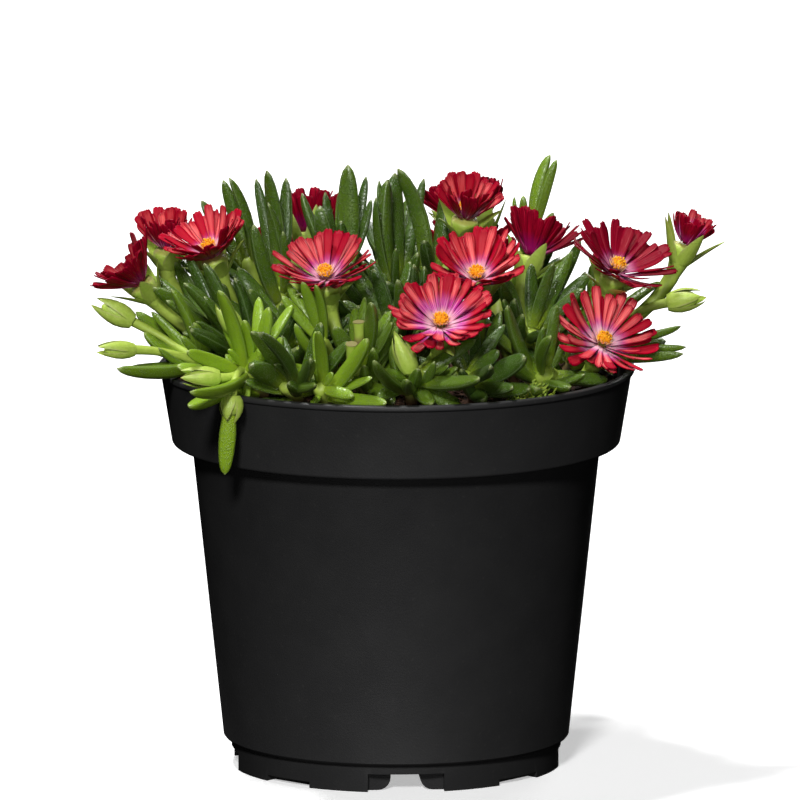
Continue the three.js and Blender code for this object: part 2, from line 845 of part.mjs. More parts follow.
// A blade: a cone or a cylinder whose rings follow a curve and whose section has the given corners.
function blade(curve, face, outline, width, section) {
  const rings = outline.length - 1;
  const tipRadius = outline[rings][1] > 0 ? 1 : 0;
  const shape = new THREE.CylinderGeometry(tipRadius, 1, 1, section.length, rings);
  const corners = shape.getAttribute("position");
  const step = (2 * Math.PI) / section.length;
  for (let i = 0; i < corners.count; i++) {
    const ring = Math.round((corners.getY(i) + 0.5) * rings);
    const [share, widthShare] = outline[ring];
    const along = curve.getTangent(share);
    const across = new THREE.Vector3().crossVectors(along, face).normalize();
    const normal = new THREE.Vector3().crossVectors(across, along);
    const place = curve.getPoint(share);
    if (Math.hypot(corners.getX(i), corners.getZ(i)) > 0.1) {
      const turn = Math.atan2(corners.getX(i), corners.getZ(i));
      const [x, z] = section[(Math.round(turn / step) + section.length) % section.length];
      place.addScaledVector(across, (x * width * widthShare) / 2);
      place.addScaledVector(normal, z * width * widthShare);
    }
    corners.setXYZ(i, place.x, place.y, place.z);
  }
  return solidFrom(shape);
}

// Balls along a curve, for the test of clear space. The start of a curve is inside what it grows from.
function ballsAlong(curve, outline, width, start, count) {
  const balls = [];
  for (let i = 0; i <= count; i++) {
    const share = start + ((1 - start) * i) / count;
    let ring = 1;
    while (ring < outline.length - 1 && outline[ring][0] < share) ring++;
    const [beforeShare, before] = outline[ring - 1];
    const [afterShare, after] = outline[ring];
    const mix = (share - beforeShare) / (afterShare - beforeShare);
    const radius = (width * (before + (after - before) * mix)) / 2;
    balls.push({ point: curve.getPoint(share), radius: Math.max(radius, 0.35), share });
  }
  return balls;
}

// The way from a stem straight out towards a place.
function outwardFrom(stem, place, stemWay) {
  const outward = place.clone().sub(stem).normalize();
  outward.addScaledVector(stemWay, -outward.dot(stemWay));
  return outward.lengthSq() > 1e-6 ? outward.normalize() : RIGHT.clone();
}

// A leaf's spine: it leaves the stem outward and curves in towards the stem's own direction.
function spine(root, tip, stemWay, arch) {
  const length = tip.distanceTo(root);
  const middle = root.clone().lerp(tip, 0.5).addScaledVector(outwardFrom(root, tip, stemWay), arch * length);
  return new THREE.QuadraticBezierCurve3(root, middle, tip);
}

// The side of a leaf that faces the stem.
function leafFace(root, tip, stemWay) {
  const way = tip.clone().sub(root).normalize();
  const face = stemWay.clone().addScaledVector(way, -stemWay.dot(way));
  return face.lengthSq() > 1e-4 ? face.normalize() : TOWARD.clone();
}

// A stem's whole path: straight in its hole, then along the curve to the crown.
class StemPath extends THREE.Curve {
  constructor(bottom, curve) {
    super();
    this.bottom = bottom;
    this.curve = curve;
  }
  getPoint(share) {
    if (share < STEM_PEG_SHARE) return this.bottom.clone().lerp(this.curve.v0, share / STEM_PEG_SHARE);
    return this.curve.getPoint((share - STEM_PEG_SHARE) / (1 - STEM_PEG_SHARE));
  }
}

// Each shoot's stem: a peg in the peat, then a curve to the crown.
function growStem(shoot) {
  const [x, y] = shoot.foot;
  const bottom = new THREE.Vector3(x, y, SOIL_TOP - HOLE_DEPTH + 1);
  const collar = new THREE.Vector3(x, y, SOIL_TOP + STEM_STRAIGHT);
  const crown = inView(shoot.crown);
  const bend = new THREE.Vector3(x, y, (collar.z + crown.z) / 2).lerp(crown, STEM_LEAN);
  const curve = new THREE.QuadraticBezierCurve3(collar, bend, crown);
  const path = new StemPath(bottom, curve);
  fill(shoot.name, ballsAlong(path, STEM_OUTLINE, 2 * STEM_RADIUS, 0, 16));
  shoot.curve = curve;
  shoot.solids = [blade(path, RIGHT, STEM_OUTLINE, 2 * STEM_RADIUS, roundSection(STEM_SIDES))];
}

// Swings of a leaf's tip nearer or farther, and shares of its length, tried until it has clear space.
const SWINGS = [
  [0, 1],
  [3, 1],
  [-3, 1],
  [6, 1],
  [-6, 1],
  [10, 1],
  [-10, 1],
  [14, 1],
  [-14, 1],
  [0, 0.85],
  [6, 0.85],
  [-6, 0.85],
  [0, 0.7],
];

// Grows one leaf where it has clear space.
function growLeaf(shoot, from, tip, width, arch, outline, allowed) {
  const stem = shoot.curve.getPoint(from);
  const stemWay = shoot.curve.getTangent(from);
  for (const [swing, share] of SWINGS) {
    const swung = tip.clone().addScaledVector(TOWARD, -swing);
    const end = stem.clone().lerp(swung, share);
    const root = stem.clone().addScaledVector(outwardFrom(stem, end, stemWay), ROOT_OFFSET);
    const curve = spine(root, end, stemWay, arch);
    const balls = ballsAlong(curve, LEAF_OUTLINE, width, 0.2, 10);
    const fits = balls.every(({ point, radius }) => clearOfPot(point, radius));
    if (fits && clearOfOthers(shoot.name, balls) && allowed(balls)) {
      shoot.solids.push(blade(curve, leafFace(root, end, stemWay), outline, width, LEAF_SECTION));
      fill(shoot.name, balls);
      return;
    }
  }
}

// A closed bud on its stalk.
function growBud(shoot, bud) {
  const root = shoot.curve.getPoint(bud.from);
  const base = inView(bud.base);
  const tip = inView(bud.tip);
  const width = bud.wide / PIXELS_PER_MM;
  const way = tip.clone().sub(base).normalize();
  const bend = base.clone().addScaledVector(way, -0.5 * base.distanceTo(root));
  const stalk = new THREE.QuadraticBezierCurve3(root, bend, base.clone().addScaledVector(way, BUD_SUNK));
  const body = new THREE.LineCurve3(base, tip);
  const stalkWidth = Math.min(width * BUD_STALK_SHARE, BUD_STALK_WIDEST);
  shoot.solids.push(blade(stalk, TOWARD, STALK_OUTLINE, stalkWidth, roundSection(STALK_SIDES)));
  shoot.solids.push(blade(body, TOWARD, BUD_OUTLINE, width, roundSection(BUD_SIDES)));
  fill(shoot.name, ballsAlong(stalk, STALK_OUTLINE, stalkWidth, 0, 10));
  fill(shoot.name, ballsAlong(body, BUD_OUTLINE, width, 0, 8));
}

// Three directions of a flower: its axis and two across it.
function flowerFrame(flower) {
  const [right, up, toward] = flower.facing;
  const axis = new THREE.Vector3();
  axis.addScaledVector(RIGHT, right).addScaledVector(UP, up).addScaledVector(TOWARD, toward).normalize();
  const first = new THREE.Vector3().crossVectors(axis, RIGHT).normalize();
  const second = new THREE.Vector3().crossVectors(axis, first);
  return { cup: inView(flower.cup), axis, first, second };
}

// A point of a flower from its turn about the axis, its radius and its height along the axis.
function flowerPoint(frame, turn, radius, height) {
  const place = frame.cup.clone().addScaledVector(frame.axis, height);
  place.addScaledVector(frame.first, Math.cos(turn) * radius);
  return place.addScaledVector(frame.second, Math.sin(turn) * radius);
}

// A lathe profile stood on a flower's axis.
function onFlower(frame, geometry) {
  const basis = new THREE.Matrix4().makeBasis(frame.first, frame.second, frame.axis);
  geometry.applyMatrix4(basis.setPosition(frame.cup));
  return solidFrom(geometry);
}

// The share of the full length that a flower's petals have at a turn about its axis.
function reachAt(flower, frame, turn) {
  const outward = flowerPoint(frame, turn, 1, 0).sub(frame.cup);
  return (flower.reach ?? 1) * (1 - (flower.back ?? 0) * Math.max(0, -outward.dot(TOWARD)));
}

// A petal's line from the disc that it grows from to its end.
function petalLine(frame, turn, degrees, length, rise) {
  const lean = THREE.MathUtils.degToRad(degrees);
  const height = DISC_HEIGHT + rise;
  const start = flowerPoint(frame, turn, DISC_RADIUS, height);
  const reach = DISC_RADIUS + length * Math.sin(lean);
  return new THREE.LineCurve3(start, flowerPoint(frame, turn, reach, height + length * Math.cos(lean)));
}

// One layer of petals: a flat star, a petal's thickness through, whose points are bent up from its disc.
function petalLayer(frame, petals, rise) {
  const corners = [];
  const shape = new THREE.Shape();
  petals.forEach(({ turn, length, width }, i) => {
    const before = petals[(i + petals.length - 1) % petals.length].turn - (i === 0 ? 2 * Math.PI : 0);
    const valley = (before + turn) / 2;
    corners.push([Math.cos(valley) * DISC_RADIUS, Math.sin(valley) * DISC_RADIUS]);
    for (const aside of [-width / 2, width / 2]) {
      const along = DISC_RADIUS + length;
      corners.push([
        Math.cos(turn) * along - Math.sin(turn) * aside,
        Math.sin(turn) * along + Math.cos(turn) * aside,
      ]);
    }
  });
  shape.setFromPoints(corners.map(([x, y]) => new THREE.Vector2(x, y)));
  const star = new THREE.ExtrudeGeometry(shape, { depth: PETAL_THICKNESS, bevelEnabled: false });
  const places = star.getAttribute("position");
  for (let i = 0; i < places.count; i++) {
    const [x, y, level] = [places.getX(i), places.getY(i), places.getZ(i) - PETAL_THICKNESS / 2];
    const turn = Math.atan2(y, x);
    let place = flowerPoint(frame, turn, Math.hypot(x, y), DISC_HEIGHT + rise + level);
    const petal = petals.find((other) => {
      const along = x * Math.cos(other.turn) + y * Math.sin(other.turn);
      return Math.abs(along - DISC_RADIUS - other.length) < SMALLEST_STEP / 10;
    });
    if (petal) {
      const aside = y * Math.cos(petal.turn) - x * Math.sin(petal.turn);
      const across = flowerPoint(frame, petal.turn + Math.PI / 2, 1, 0).sub(frame.cup);
      const normal = new THREE.Vector3().crossVectors(petal.line.getTangent(1), across);
      place = petal.line.v2.clone().addScaledVector(across, aside).addScaledVector(normal, level);
    }
    places.setXYZ(i, place.x, place.y, place.z);
  }
  return solidFrom(mergeVertices(star));
}

// A flower's petals in their layers, joined by a small hub.
function flowerPetals(flower, index) {
  const frame = flowerFrame(flower);
  const draw = draws(index + 1);
  const name = flower.name + "_petals";
  const hub = [
    [0, DISC_HEIGHT],
    [HUB_RADIUS, DISC_HEIGHT],
    [HUB_RADIUS, DISC_HEIGHT + INNER_LAYER_RISE],
    [0, DISC_HEIGHT + INNER_LAYER_RISE],
  ];
  const solids = [onFlower(frame, turned(hub, HUB_SIDES))];
  flower.petals.forEach((count, layer) => {
    const rise = layer * INNER_LAYER_RISE;
    const petals = [];
    for (let i = 0; i < count; i++) {
      const place = i + 0.5 * layer + draw(-PETAL_TURN_DRAW, PETAL_TURN_DRAW);
      const turn = (place * 2 * Math.PI) / count;
      const upright = layer * INNER_LAYER_TILT + draw(-PETAL_SPREAD_DRAW, PETAL_SPREAD_DRAW);
      const degrees = flower.spread - upright;
      const layerShare = reachAt(flower, frame, turn) * (layer ? INNER_LAYER_SHARE : 1);
      const length = PETAL_LENGTH * layerShare * draw(...PETAL_LENGTH_DRAW);
      const width = PETAL_WIDTH * draw(...PETAL_WIDTH_DRAW);
      const line = petalLine(frame, turn, degrees, length, rise);
      petals.push({ turn, length, width, line });
      fill(name, ballsAlong(line, PETAL_OUTLINE, width * 0.9, 0, 8));
    }
    solids.push(petalLayer(frame, petals, rise));
  });
  return meshFrom(name, solids, COLOURS.petal);
}

function flowerStamens(flower) {
  const frame = flowerFrame(flower);
  const boss = new THREE.SphereGeometry(1, 5, 4);
  boss.rotateX(Math.PI / 2);
  const radius = BOSS_RADIUS * (flower.spread < HALF_OPEN_SPREAD ? HALF_OPEN_BOSS_SHARE : 1);
  boss.scale(radius, radius, BOSS_HEIGHT / 2);
  boss.translate(0, 0, BOSS_CENTRE);
  return meshFrom(flower.name + "_stamens", [onFlower(frame, boss)], COLOURS.pollen);
}

// The green cup under a flower, its sepals, and the stalk that joins it to its shoot.
function growCalyx(shoot, flower, index) {
  const frame = flowerFrame(flower);
  const draw = draws(index + 101);
  const cup = [
    [0, -CALYX_LENGTH],
    [CALYX_RADIUS, -CALYX_SHOULDER],
    [CALYX_RADIUS, -CALYX_SHOULDER / 2],
    [CALYX_MOUTH_RADIUS, -GAP],
    [0, -GAP],
  ];
  const rim = 2;
  const funnel = turned(cup, 2 * SEPALS);
  const corners = funnel.getAttribute("position");
  for (const [height, radius] of CALYX_SPACE) {
    fill(shoot.name, [{ point: flowerPoint(frame, 0, 0, height), radius, share: 1 }]);
  }
  for (let i = 0; i < SEPALS; i++) {
    const turn = (i * 2 * Math.PI) / SEPALS - Math.PI / 2;
    const under = flower.spread + SEPAL_TILT + draw(...SEPAL_TILT_DRAW);
    const lean = THREE.MathUtils.degToRad(Math.min(under, SEPAL_FLATTEST));
    const length = SEPAL_LENGTH * (flower.sepals ?? 1) * draw(...SEPAL_LENGTH_DRAW);
    const reach = CALYX_MOUTH_RADIUS + length * Math.sin(lean);
    const height = length * Math.cos(lean) - SEPAL_START;
    const columns = i === 0 ? [0, 2 * SEPALS] : [2 * i];
    for (const column of columns) {
      const corner = column * cup.length + rim;
      const stretch = reach / CALYX_RADIUS;
      corners.setXYZ(corner, corners.getX(corner) * stretch, corners.getY(corner) * stretch, height);
    }
    const root = flowerPoint(frame, turn, CALYX_MOUTH_RADIUS, -SEPAL_START);
    const line = new THREE.LineCurve3(root, flowerPoint(frame, turn, reach, height));
    fill(shoot.name, ballsAlong(line, SEPAL_OUTLINE, SEPAL_WIDTH, 0, 5));
  }
  shoot.solids.push(onFlower(frame, funnel));
  const root = shoot.curve.getPoint(flower.from);
  const end = flowerPoint(frame, 0, 0, STALK_SUNK - CALYX_LENGTH);
  const reach = end.distanceTo(root);
  const bend = end.clone().addScaledVector(frame.axis, -STALK_BEND * reach);
  const stalk = new THREE.QuadraticBezierCurve3(root, bend, end);
  shoot.solids.push(blade(stalk, TOWARD, STALK_OUTLINE, 2 * PEDICEL_RADIUS, roundSection(STALK_SIDES)));
  fill(shoot.name, ballsAlong(stalk, STALK_OUTLINE, 2 * PEDICEL_RADIUS, 0, 14));
}

// The height of the clump's outline at a place in the view.
function outlineAt(x) {
  const [firstX, firstY] = OUTLINE[0];
  if (x <= firstX) return firstY;
  for (let i = 1; i < OUTLINE.length; i++) {
    const [beforeX, beforeY] = OUTLINE[i - 1];
    const [afterX, afterY] = OUTLINE[i];
    if (x <= afterX) return beforeY + ((afterY - beforeY) * (x - beforeX)) / (afterX - beforeX);
  }
  return OUTLINE[OUTLINE.length - 1][1];
}

// Leaves placed by rule stay under the outline and don't stand in front of a flower.
function hidesNothing(balls) {
  return balls.every(({ point, radius }) => {
    const x = AXIS_X + PIXELS_PER_MM * point.x;
    const up = point.dot(UP);
    const y = GROUND_Y - PIXELS_PER_MM * up;
    if (y - radius * PIXELS_PER_MM < outlineAt(x)) return false;
    return FLOWERS.every((flower) => {
      const frame = flowerFrame(flower);
      const centre = flowerPoint(frame, 0, 0, BLOOM_MIDDLE);
      const ahead = point.dot(TOWARD) > centre.dot(TOWARD) - BLOOM_DEPTH;
      const away = Math.hypot(point.x - centre.x, up - centre.dot(UP));
      return !ahead || away > BLOOM_CLEARANCE + radius;
    });
  });
}

// Opposite leaves in crossed pairs up a shoot, where there is room for them.
function growPairs(shoot, index) {
  const draw = draws(index + 201);
  const start = draw(0, Math.PI);
  for (let pair = 0; pair < shoot.pairs; pair++) {
    const from = LOWEST_PAIR + ((1 - LOWEST_PAIR) * (pair + 1)) / shoot.pairs;
    const stemWay = shoot.curve.getTangent(from);
    const first = new THREE.Vector3().crossVectors(stemWay, RIGHT).normalize();
    const second = new THREE.Vector3().crossVectors(stemWay, first);
    for (let side = 0; side < 2; side++) {
      const turn = start + (pair * Math.PI) / 2 + side * Math.PI + draw(-PAIR_TURN_DRAW, PAIR_TURN_DRAW);
      const degrees = PAIR_LEAN - PAIR_LEAN_DROP * from + draw(-PAIR_LEAN_DRAW, PAIR_LEAN_DRAW);
      const lean = THREE.MathUtils.degToRad(degrees);
      const length = draw(...PAIR_LENGTH);
      const width = draw(...PAIR_WIDTH);
      const way = stemWay.clone().multiplyScalar(Math.cos(lean));
      way.addScaledVector(first, Math.sin(lean) * Math.cos(turn));
      way.addScaledVector(second, Math.sin(lean) * Math.sin(turn));
      const tip = shoot.curve.getPoint(from).addScaledVector(way, length);
      growLeaf(shoot, from, tip, width, LEAF_ARCH, SHORT_LEAF_OUTLINE, hidesNothing);
    }
  }
}

// The order of growth: flowers and stems have their places first, then the leaves seen from the front,
// and last the leaves that fill the clump.
function plant() {
  const pieces = [];
  FLOWERS.forEach((flower, index) => {
    pieces.push(flowerPetals(flower, index));
    pieces.push(flowerStamens(flower));
  });
  SHOOTS.forEach(growStem);
  FLOWERS.forEach((flower, index) => {
    const shoot = SHOOTS.find(({ name }) => name === flower.on);
    growCalyx(shoot, flower, index);
  });
  for (const shoot of SHOOTS) {
    for (const bud of shoot.buds) {
      growBud(shoot, bud);
    }
  }
  for (const shoot of SHOOTS) {
    for (const leaf of shoot.leaves) {
      const width = leaf.wide / PIXELS_PER_MM;
      const arch = leaf.arch ?? LEAF_ARCH;
      growLeaf(shoot, leaf.from, inView(leaf.tip), width, arch, LEAF_OUTLINE, () => true);
    }
    if (shoot.trailing) {
      const { root, tip, wide } = shoot.trailing;
      const width = wide / PIXELS_PER_MM;
      const curve = new THREE.LineCurve3(inView(root), inView(tip));
      shoot.solids.push(blade(curve, TOWARD, LEAF_OUTLINE, width, LEAF_SECTION));
    }
  }
  SHOOTS.forEach(growPairs);
  for (const shoot of SHOOTS) {
    pieces.push(meshFrom(shoot.name, shoot.solids, COLOURS.leaf));
  }
  return pieces;
}

const root = new THREE.Group();
root.name = "potted_ice_plant";
root.add(pot(), soil(), ...plant());

export default root;
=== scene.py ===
import math

import bpy
import numpy as np
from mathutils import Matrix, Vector, noise


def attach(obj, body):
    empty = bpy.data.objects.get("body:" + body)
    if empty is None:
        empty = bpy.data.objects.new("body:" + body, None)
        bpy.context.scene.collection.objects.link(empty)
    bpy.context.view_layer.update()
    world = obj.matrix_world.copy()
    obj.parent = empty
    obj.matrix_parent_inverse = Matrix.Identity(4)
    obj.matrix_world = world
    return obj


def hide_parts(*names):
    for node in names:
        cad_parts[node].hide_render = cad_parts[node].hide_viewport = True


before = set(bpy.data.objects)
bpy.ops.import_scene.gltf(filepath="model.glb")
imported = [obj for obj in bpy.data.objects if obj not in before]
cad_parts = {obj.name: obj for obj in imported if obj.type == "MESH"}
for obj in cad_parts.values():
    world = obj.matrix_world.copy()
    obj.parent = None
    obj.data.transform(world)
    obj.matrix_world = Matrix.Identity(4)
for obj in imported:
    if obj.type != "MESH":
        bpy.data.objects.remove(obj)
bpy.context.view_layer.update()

# Pot: one moulded pot of black polypropylene with a matt skin. A deep collar with a thin lip stands round the
# mouth, the wall tapers to a ledge, and the foot has notches that lead to grooves and drain holes under it.
POT_HEIGHT = 0.110
RIM_RADIUS = 0.065
LIP_HEIGHT = 0.0016
LIP_ROUND = 0.0005
COLLAR_TOP_RADIUS = 0.0642
COLLAR_FOOT_RADIUS = 0.0612
COLLAR_FOOT = 0.089
COLLAR_ROUND = 0.0009
BODY_TOP_RADIUS = 0.0557
BODY_FOOT_RADIUS = 0.0472
LEDGE = 0.008
FOOT_RADIUS = 0.045
WALL = 0.0012
EASED_EDGE = 0.0002
POT_STEPS = 128
GROOVES = 4
GROOVE_TURN = math.radians(3.5)
GROOVE_WIDTH = 0.008
GROOVE_FLARE = 0.0035
FLARE_STEPS = 5
GROOVE_HEIGHT = 0.005
GROOVE_INNER_RADIUS = 0.014
TALL_NOTCH_WIDTH = 0.0208
LOW_NOTCH_WIDTH = 0.0154
LOW_NOTCH_HEIGHT = 0.0017
NOTCH_DEPTH = 0.004
DRAIN_RADIUS = 0.0025
DRAIN_PLACE = 0.030
DRAIN_DEPTH = 0.008
DRAIN_SIDES = 20
CUTTER_BELOW = 0.001
CUTTER_BEYOND = 0.002


def deselect_all():
    if bpy.context.mode != "OBJECT":
        bpy.ops.object.mode_set(mode="OBJECT")
    bpy.ops.object.select_all(action="DESELECT")


def select_only(piece):
    deselect_all()
    piece.select_set(True)
    bpy.context.view_layer.objects.active = piece


def newly_added(name):
    piece = bpy.context.object
    piece.name = name
    piece.data.name = name
    return piece


def line_of_points(name, points):
    """A chain of edges through the points, each extruded from the last, left in edit mode."""
    deselect_all()
    bpy.ops.mesh.primitive_plane_add(size=1, location=points[0])
    piece = newly_added(name)
    bpy.ops.object.transform_apply(location=True, rotation=False, scale=False)
    bpy.ops.object.mode_set(mode="EDIT")
    bpy.ops.mesh.select_all(action="SELECT")
    bpy.ops.mesh.merge(type="CENTER")
    for before, after in zip(points, points[1:]):
        step = Vector(after) - Vector(before)
        bpy.ops.mesh.extrude_region_move(TRANSFORM_OT_translate={"value": step})
    return piece


def turned_shape(name, profile, steps):
    """A closed shape of revolution from radius and height pairs that start and end on the axis."""
    piece = line_of_points(name, [(radius, 0, height) for radius, height in profile])
    bpy.ops.mesh.select_all(action="SELECT")
    bpy.ops.mesh.spin(steps=steps, angle=math.tau, center=(0, 0, 0), axis=(0, 0, 1))
    bpy.ops.mesh.select_all(action="SELECT")
    bpy.ops.mesh.remove_doubles(threshold=1e-6)
    bpy.ops.mesh.normals_make_consistent(inside=False)
    bpy.ops.object.mode_set(mode="OBJECT")
    return piece


def prism(name, outline, inner, outer, turn):
    """An outline across the front, pushed back along a radius and turned about the pot's axis."""
    piece = line_of_points(name, [(x, -outer, z) for x, z in outline])
    bpy.ops.mesh.select_all(action="SELECT")
    bpy.ops.mesh.edge_face_add()
    bpy.ops.mesh.extrude_region_move(TRANSFORM_OT_translate={"value": (0, outer - inner, 0)})
    bpy.ops.mesh.select_all(action="SELECT")
    bpy.ops.mesh.normals_make_consistent(inside=False)
    bpy.ops.transform.rotate(value=-turn, orient_axis="Z", center_override=(0, 0, 0))
    bpy.ops.object.mode_set(mode="OBJECT")
    return piece


def rectangle(width, low, high):
    return [(-width / 2, low), (width / 2, low), (width / 2, high), (-width / 2, high)]


def arc(centre, radius, first, last, steps):
    """Points of an arc, as radius and height pairs, between two angles in degrees."""
    turns = [math.radians(first + (last - first) * i / steps) for i in range(steps + 1)]
    return [(centre[0] + radius * math.cos(t), centre[1] + radius * math.sin(t)) for t in turns]


def apply_modifier(piece, kind, **settings):
    select_only(piece)
    modifier = piece.modifiers.new(kind.lower(), kind)
    for key, value in settings.items():
        setattr(modifier, key, value)
    bpy.ops.object.modifier_apply(modifier=modifier.name)


def smooth(piece, degrees):
    """Smooth shading, with a crease where faces meet at more than this angle."""
    select_only(piece)
    bpy.ops.object.shade_smooth_by_angle(angle=math.radians(degrees))


class Value:
    """A socket of a material, so that sums and products of sockets add their Math nodes."""

    def __init__(self, finish, socket):
        self.finish = finish
        self.socket = socket

    def maths(self, operation, first, second):
        return self.finish.node("ShaderNodeMath", {"operation": operation}, {0: first, 1: second})

    def __add__(self, other):
        return self.maths("ADD", self, other)

    def __radd__(self, other):
        return self.maths("ADD", other, self)

    def __sub__(self, other):
        return self.maths("SUBTRACT", self, other)

    def __rsub__(self, other):
        return self.maths("SUBTRACT", other, self)

    def __mul__(self, other):
        return self.maths("MULTIPLY", self, other)

    def __rmul__(self, other):
        return self.maths("MULTIPLY", other, self)

    def __abs__(self):
        return self.maths("ABSOLUTE", self, 0.0)


class Finish:
    """A material around one Principled shader. Every other node comes from the method node."""

    def __init__(self, name, **constants):
        self.material = bpy.data.materials.new(name)
        self.material.use_nodes = True
        self.tree = self.material.node_tree
        self.tree.nodes.clear()
        self.shader = self.tree.nodes.new("ShaderNodeBsdfPrincipled")
        output = self.tree.nodes.new("ShaderNodeOutputMaterial")
        self.tree.links.new(self.shader.outputs[0], output.inputs["Surface"])
        self.surface(**constants)
        self.place = self.node("ShaderNodeTexCoord", out="Object")

    def feed(self, socket, value):
        if isinstance(value, Value):
            self.tree.links.new(value.socket, socket)
        elif socket.type == "RGBA" and len(value) == 3:
            socket.default_value = (*value, 1)
        else:
            socket.default_value = value

    def surface(self, **sockets):
        for key, value in sockets.items():
            self.feed(self.shader.inputs[key.replace("_", " ")], value)
        return self.material

    def node(self, kind, settings=None, sockets=None, out=0):
        made = self.tree.nodes.new(kind)
        for key, value in (settings or {}).items():
            setattr(made, key, value)
        for key, value in (sockets or {}).items():
            self.feed(made.inputs[key], value)
        return Value(self, made.outputs[out])

    def noise(self, size, detail=2.0, roughness=0.5, where=None):
        """Soft noise from 0 to 1 with lumps of the given size in metres."""
        sockets = {"Vector": where or self.place, "Scale": 1 / size, "Detail": detail}
        sockets["Roughness"] = roughness
        return self.node("ShaderNodeTexNoise", None, sockets)

    def cells(self, size):
        """Distance from the middle of the nearest cell, for beads of the given size in metres."""
        return self.node("ShaderNodeTexVoronoi", None, {"Vector": self.place, "Scale": 1 / size})

    def own(self, name):
        """A number that the piece's mesh carries."""
        return self.node("ShaderNodeAttribute", {"attribute_name": name}, out="Fac")

    def rise(self, value, low, high, least=0.0):
        """A smooth step from the least, where the value is low, to 1, where it is high."""
        sockets = {"Value": value, "From Min": low, "From Max": high, "To Min": least}
        return self.node("ShaderNodeMapRange", {"interpolation_type": "SMOOTHSTEP"}, sockets)

    def blend(self, share, first, second):
        return self.node("ShaderNodeMix", {"data_type": "RGBA"}, {0: share, 6: first, 7: second}, out=2)

    def bump(self, height, strength, distance):
        sockets = {"Height": height, "Strength": strength, "Distance": distance}
        return self.node("ShaderNodeBump", None, sockets)


def pot_plastic():
    """Black plastic: faint mottling and dust in a fine matt grain, duller in patches."""
    finish = Finish("black_plastic", Specular_IOR_Level=0.5)
    black = (0.0180, 0.0180, 0.0186)
    faded_black = (0.0235, 0.0233, 0.0235)
    dust_grey = (0.08, 0.075, 0.07)
    mottle = finish.noise(0.012, 4.0, 0.6)
    grain = finish.noise(0.0005, 2.0)
    dust = finish.rise(finish.noise(0.0016, 3.0, 0.7), 0.6, 0.78)
    colour = finish.blend(mottle, black, faded_black)
    colour = finish.blend(dust * 0.18, colour, dust_grey)
    normal = finish.bump(grain + 0.6 * finish.noise(0.004), 0.12, 0.0004)
    return finish.surface(Base_Color=colour, Roughness=0.46 + 0.16 * mottle, Normal=normal)


pot_profile = [
    (0, 0),
    (FOOT_RADIUS, 0),
    (FOOT_RADIUS, LEDGE - 5 * EASED_EDGE),
    (BODY_FOOT_RADIUS - 2 * EASED_EDGE, LEDGE - EASED_EDGE),
    (BODY_FOOT_RADIUS, LEDGE + 1.5 * EASED_EDGE),
    (BODY_TOP_RADIUS, COLLAR_FOOT - 3 * EASED_EDGE),
    (BODY_TOP_RADIUS + 2 * EASED_EDGE, COLLAR_FOOT),
    *arc((COLLAR_FOOT_RADIUS - COLLAR_ROUND, COLLAR_FOOT + COLLAR_ROUND), COLLAR_ROUND, -90, 0, 4),
    (COLLAR_TOP_RADIUS, POT_HEIGHT - LIP_HEIGHT - EASED_EDGE),
    *arc((RIM_RADIUS - LIP_ROUND, POT_HEIGHT - LIP_HEIGHT + LIP_ROUND), LIP_ROUND, -70, 0, 3),
    *arc((RIM_RADIUS - LIP_ROUND, POT_HEIGHT - LIP_ROUND), LIP_ROUND, 0, 90, 3),
    (COLLAR_TOP_RADIUS - WALL + 1.5 * EASED_EDGE, POT_HEIGHT),
    (COLLAR_TOP_RADIUS - WALL, POT_HEIGHT - 1.5 * EASED_EDGE),
    (COLLAR_FOOT_RADIUS - WALL, COLLAR_FOOT + 2 * WALL),
    (BODY_TOP_RADIUS - WALL, COLLAR_FOOT + WALL),
    (BODY_FOOT_RADIUS - WALL, LEDGE + 2 * WALL),
    (FOOT_RADIUS - WALL, LEDGE),
    (FOOT_RADIUS - 2 * WALL, GROOVE_HEIGHT + WALL),
    (0, GROOVE_HEIGHT + WALL),
]
pot = turned_shape("nursery_pot", pot_profile, POT_STEPS)
half = GROOVE_WIDTH / 2
quarter_turn = np.linspace(0, math.pi / 2, FLARE_STEPS + 1)
flare = [(GROOVE_FLARE * (1 - math.sin(t)), GROOVE_FLARE * (1 - math.cos(t))) for t in quarter_turn]
groove = [(half + x, z) for x, z in flare] + [(half, GROOVE_HEIGHT), (-half, GROOVE_HEIGHT)]
groove += [(-half - x, z) for x, z in reversed(flare)]
groove += [(-half - GROOVE_FLARE, -CUTTER_BELOW), (half + GROOVE_FLARE, -CUTTER_BELOW)]
tall_notch = rectangle(TALL_NOTCH_WIDTH, -CUTTER_BELOW, GROOVE_HEIGHT)
low_notch = rectangle(LOW_NOTCH_WIDTH, -CUTTER_BELOW, LOW_NOTCH_HEIGHT)
notch_back = FOOT_RADIUS - NOTCH_DEPTH
beyond = FOOT_RADIUS + CUTTER_BEYOND
cutters = []
for i in range(GROOVES):
    turn = GROOVE_TURN + i * math.tau / GROOVES
    cutters.append(prism("groove", groove, GROOVE_INNER_RADIUS, beyond, turn))
    cutters.append(prism("tall_notch", tall_notch, notch_back, beyond, turn))
    cutters.append(prism("low_notch", low_notch, notch_back, beyond, turn + math.pi / GROOVES))
    deselect_all()
    place = (DRAIN_PLACE * math.sin(turn), -DRAIN_PLACE * math.cos(turn), GROOVE_HEIGHT)
    bpy.ops.mesh.primitive_cylinder_add(
        vertices=DRAIN_SIDES, radius=DRAIN_RADIUS, depth=DRAIN_DEPTH, location=place
    )
    cutters.append(newly_added("drain"))
for cutter in cutters:
    apply_modifier(pot, "BOOLEAN", operation="DIFFERENCE", object=cutter, solver="EXACT")
    bpy.data.objects.remove(cutter)
apply_modifier(pot, "BEVEL", width=EASED_EDGE, segments=2, limit_method="ANGLE", angle_limit=math.radians(45))
smooth(pot, 30)
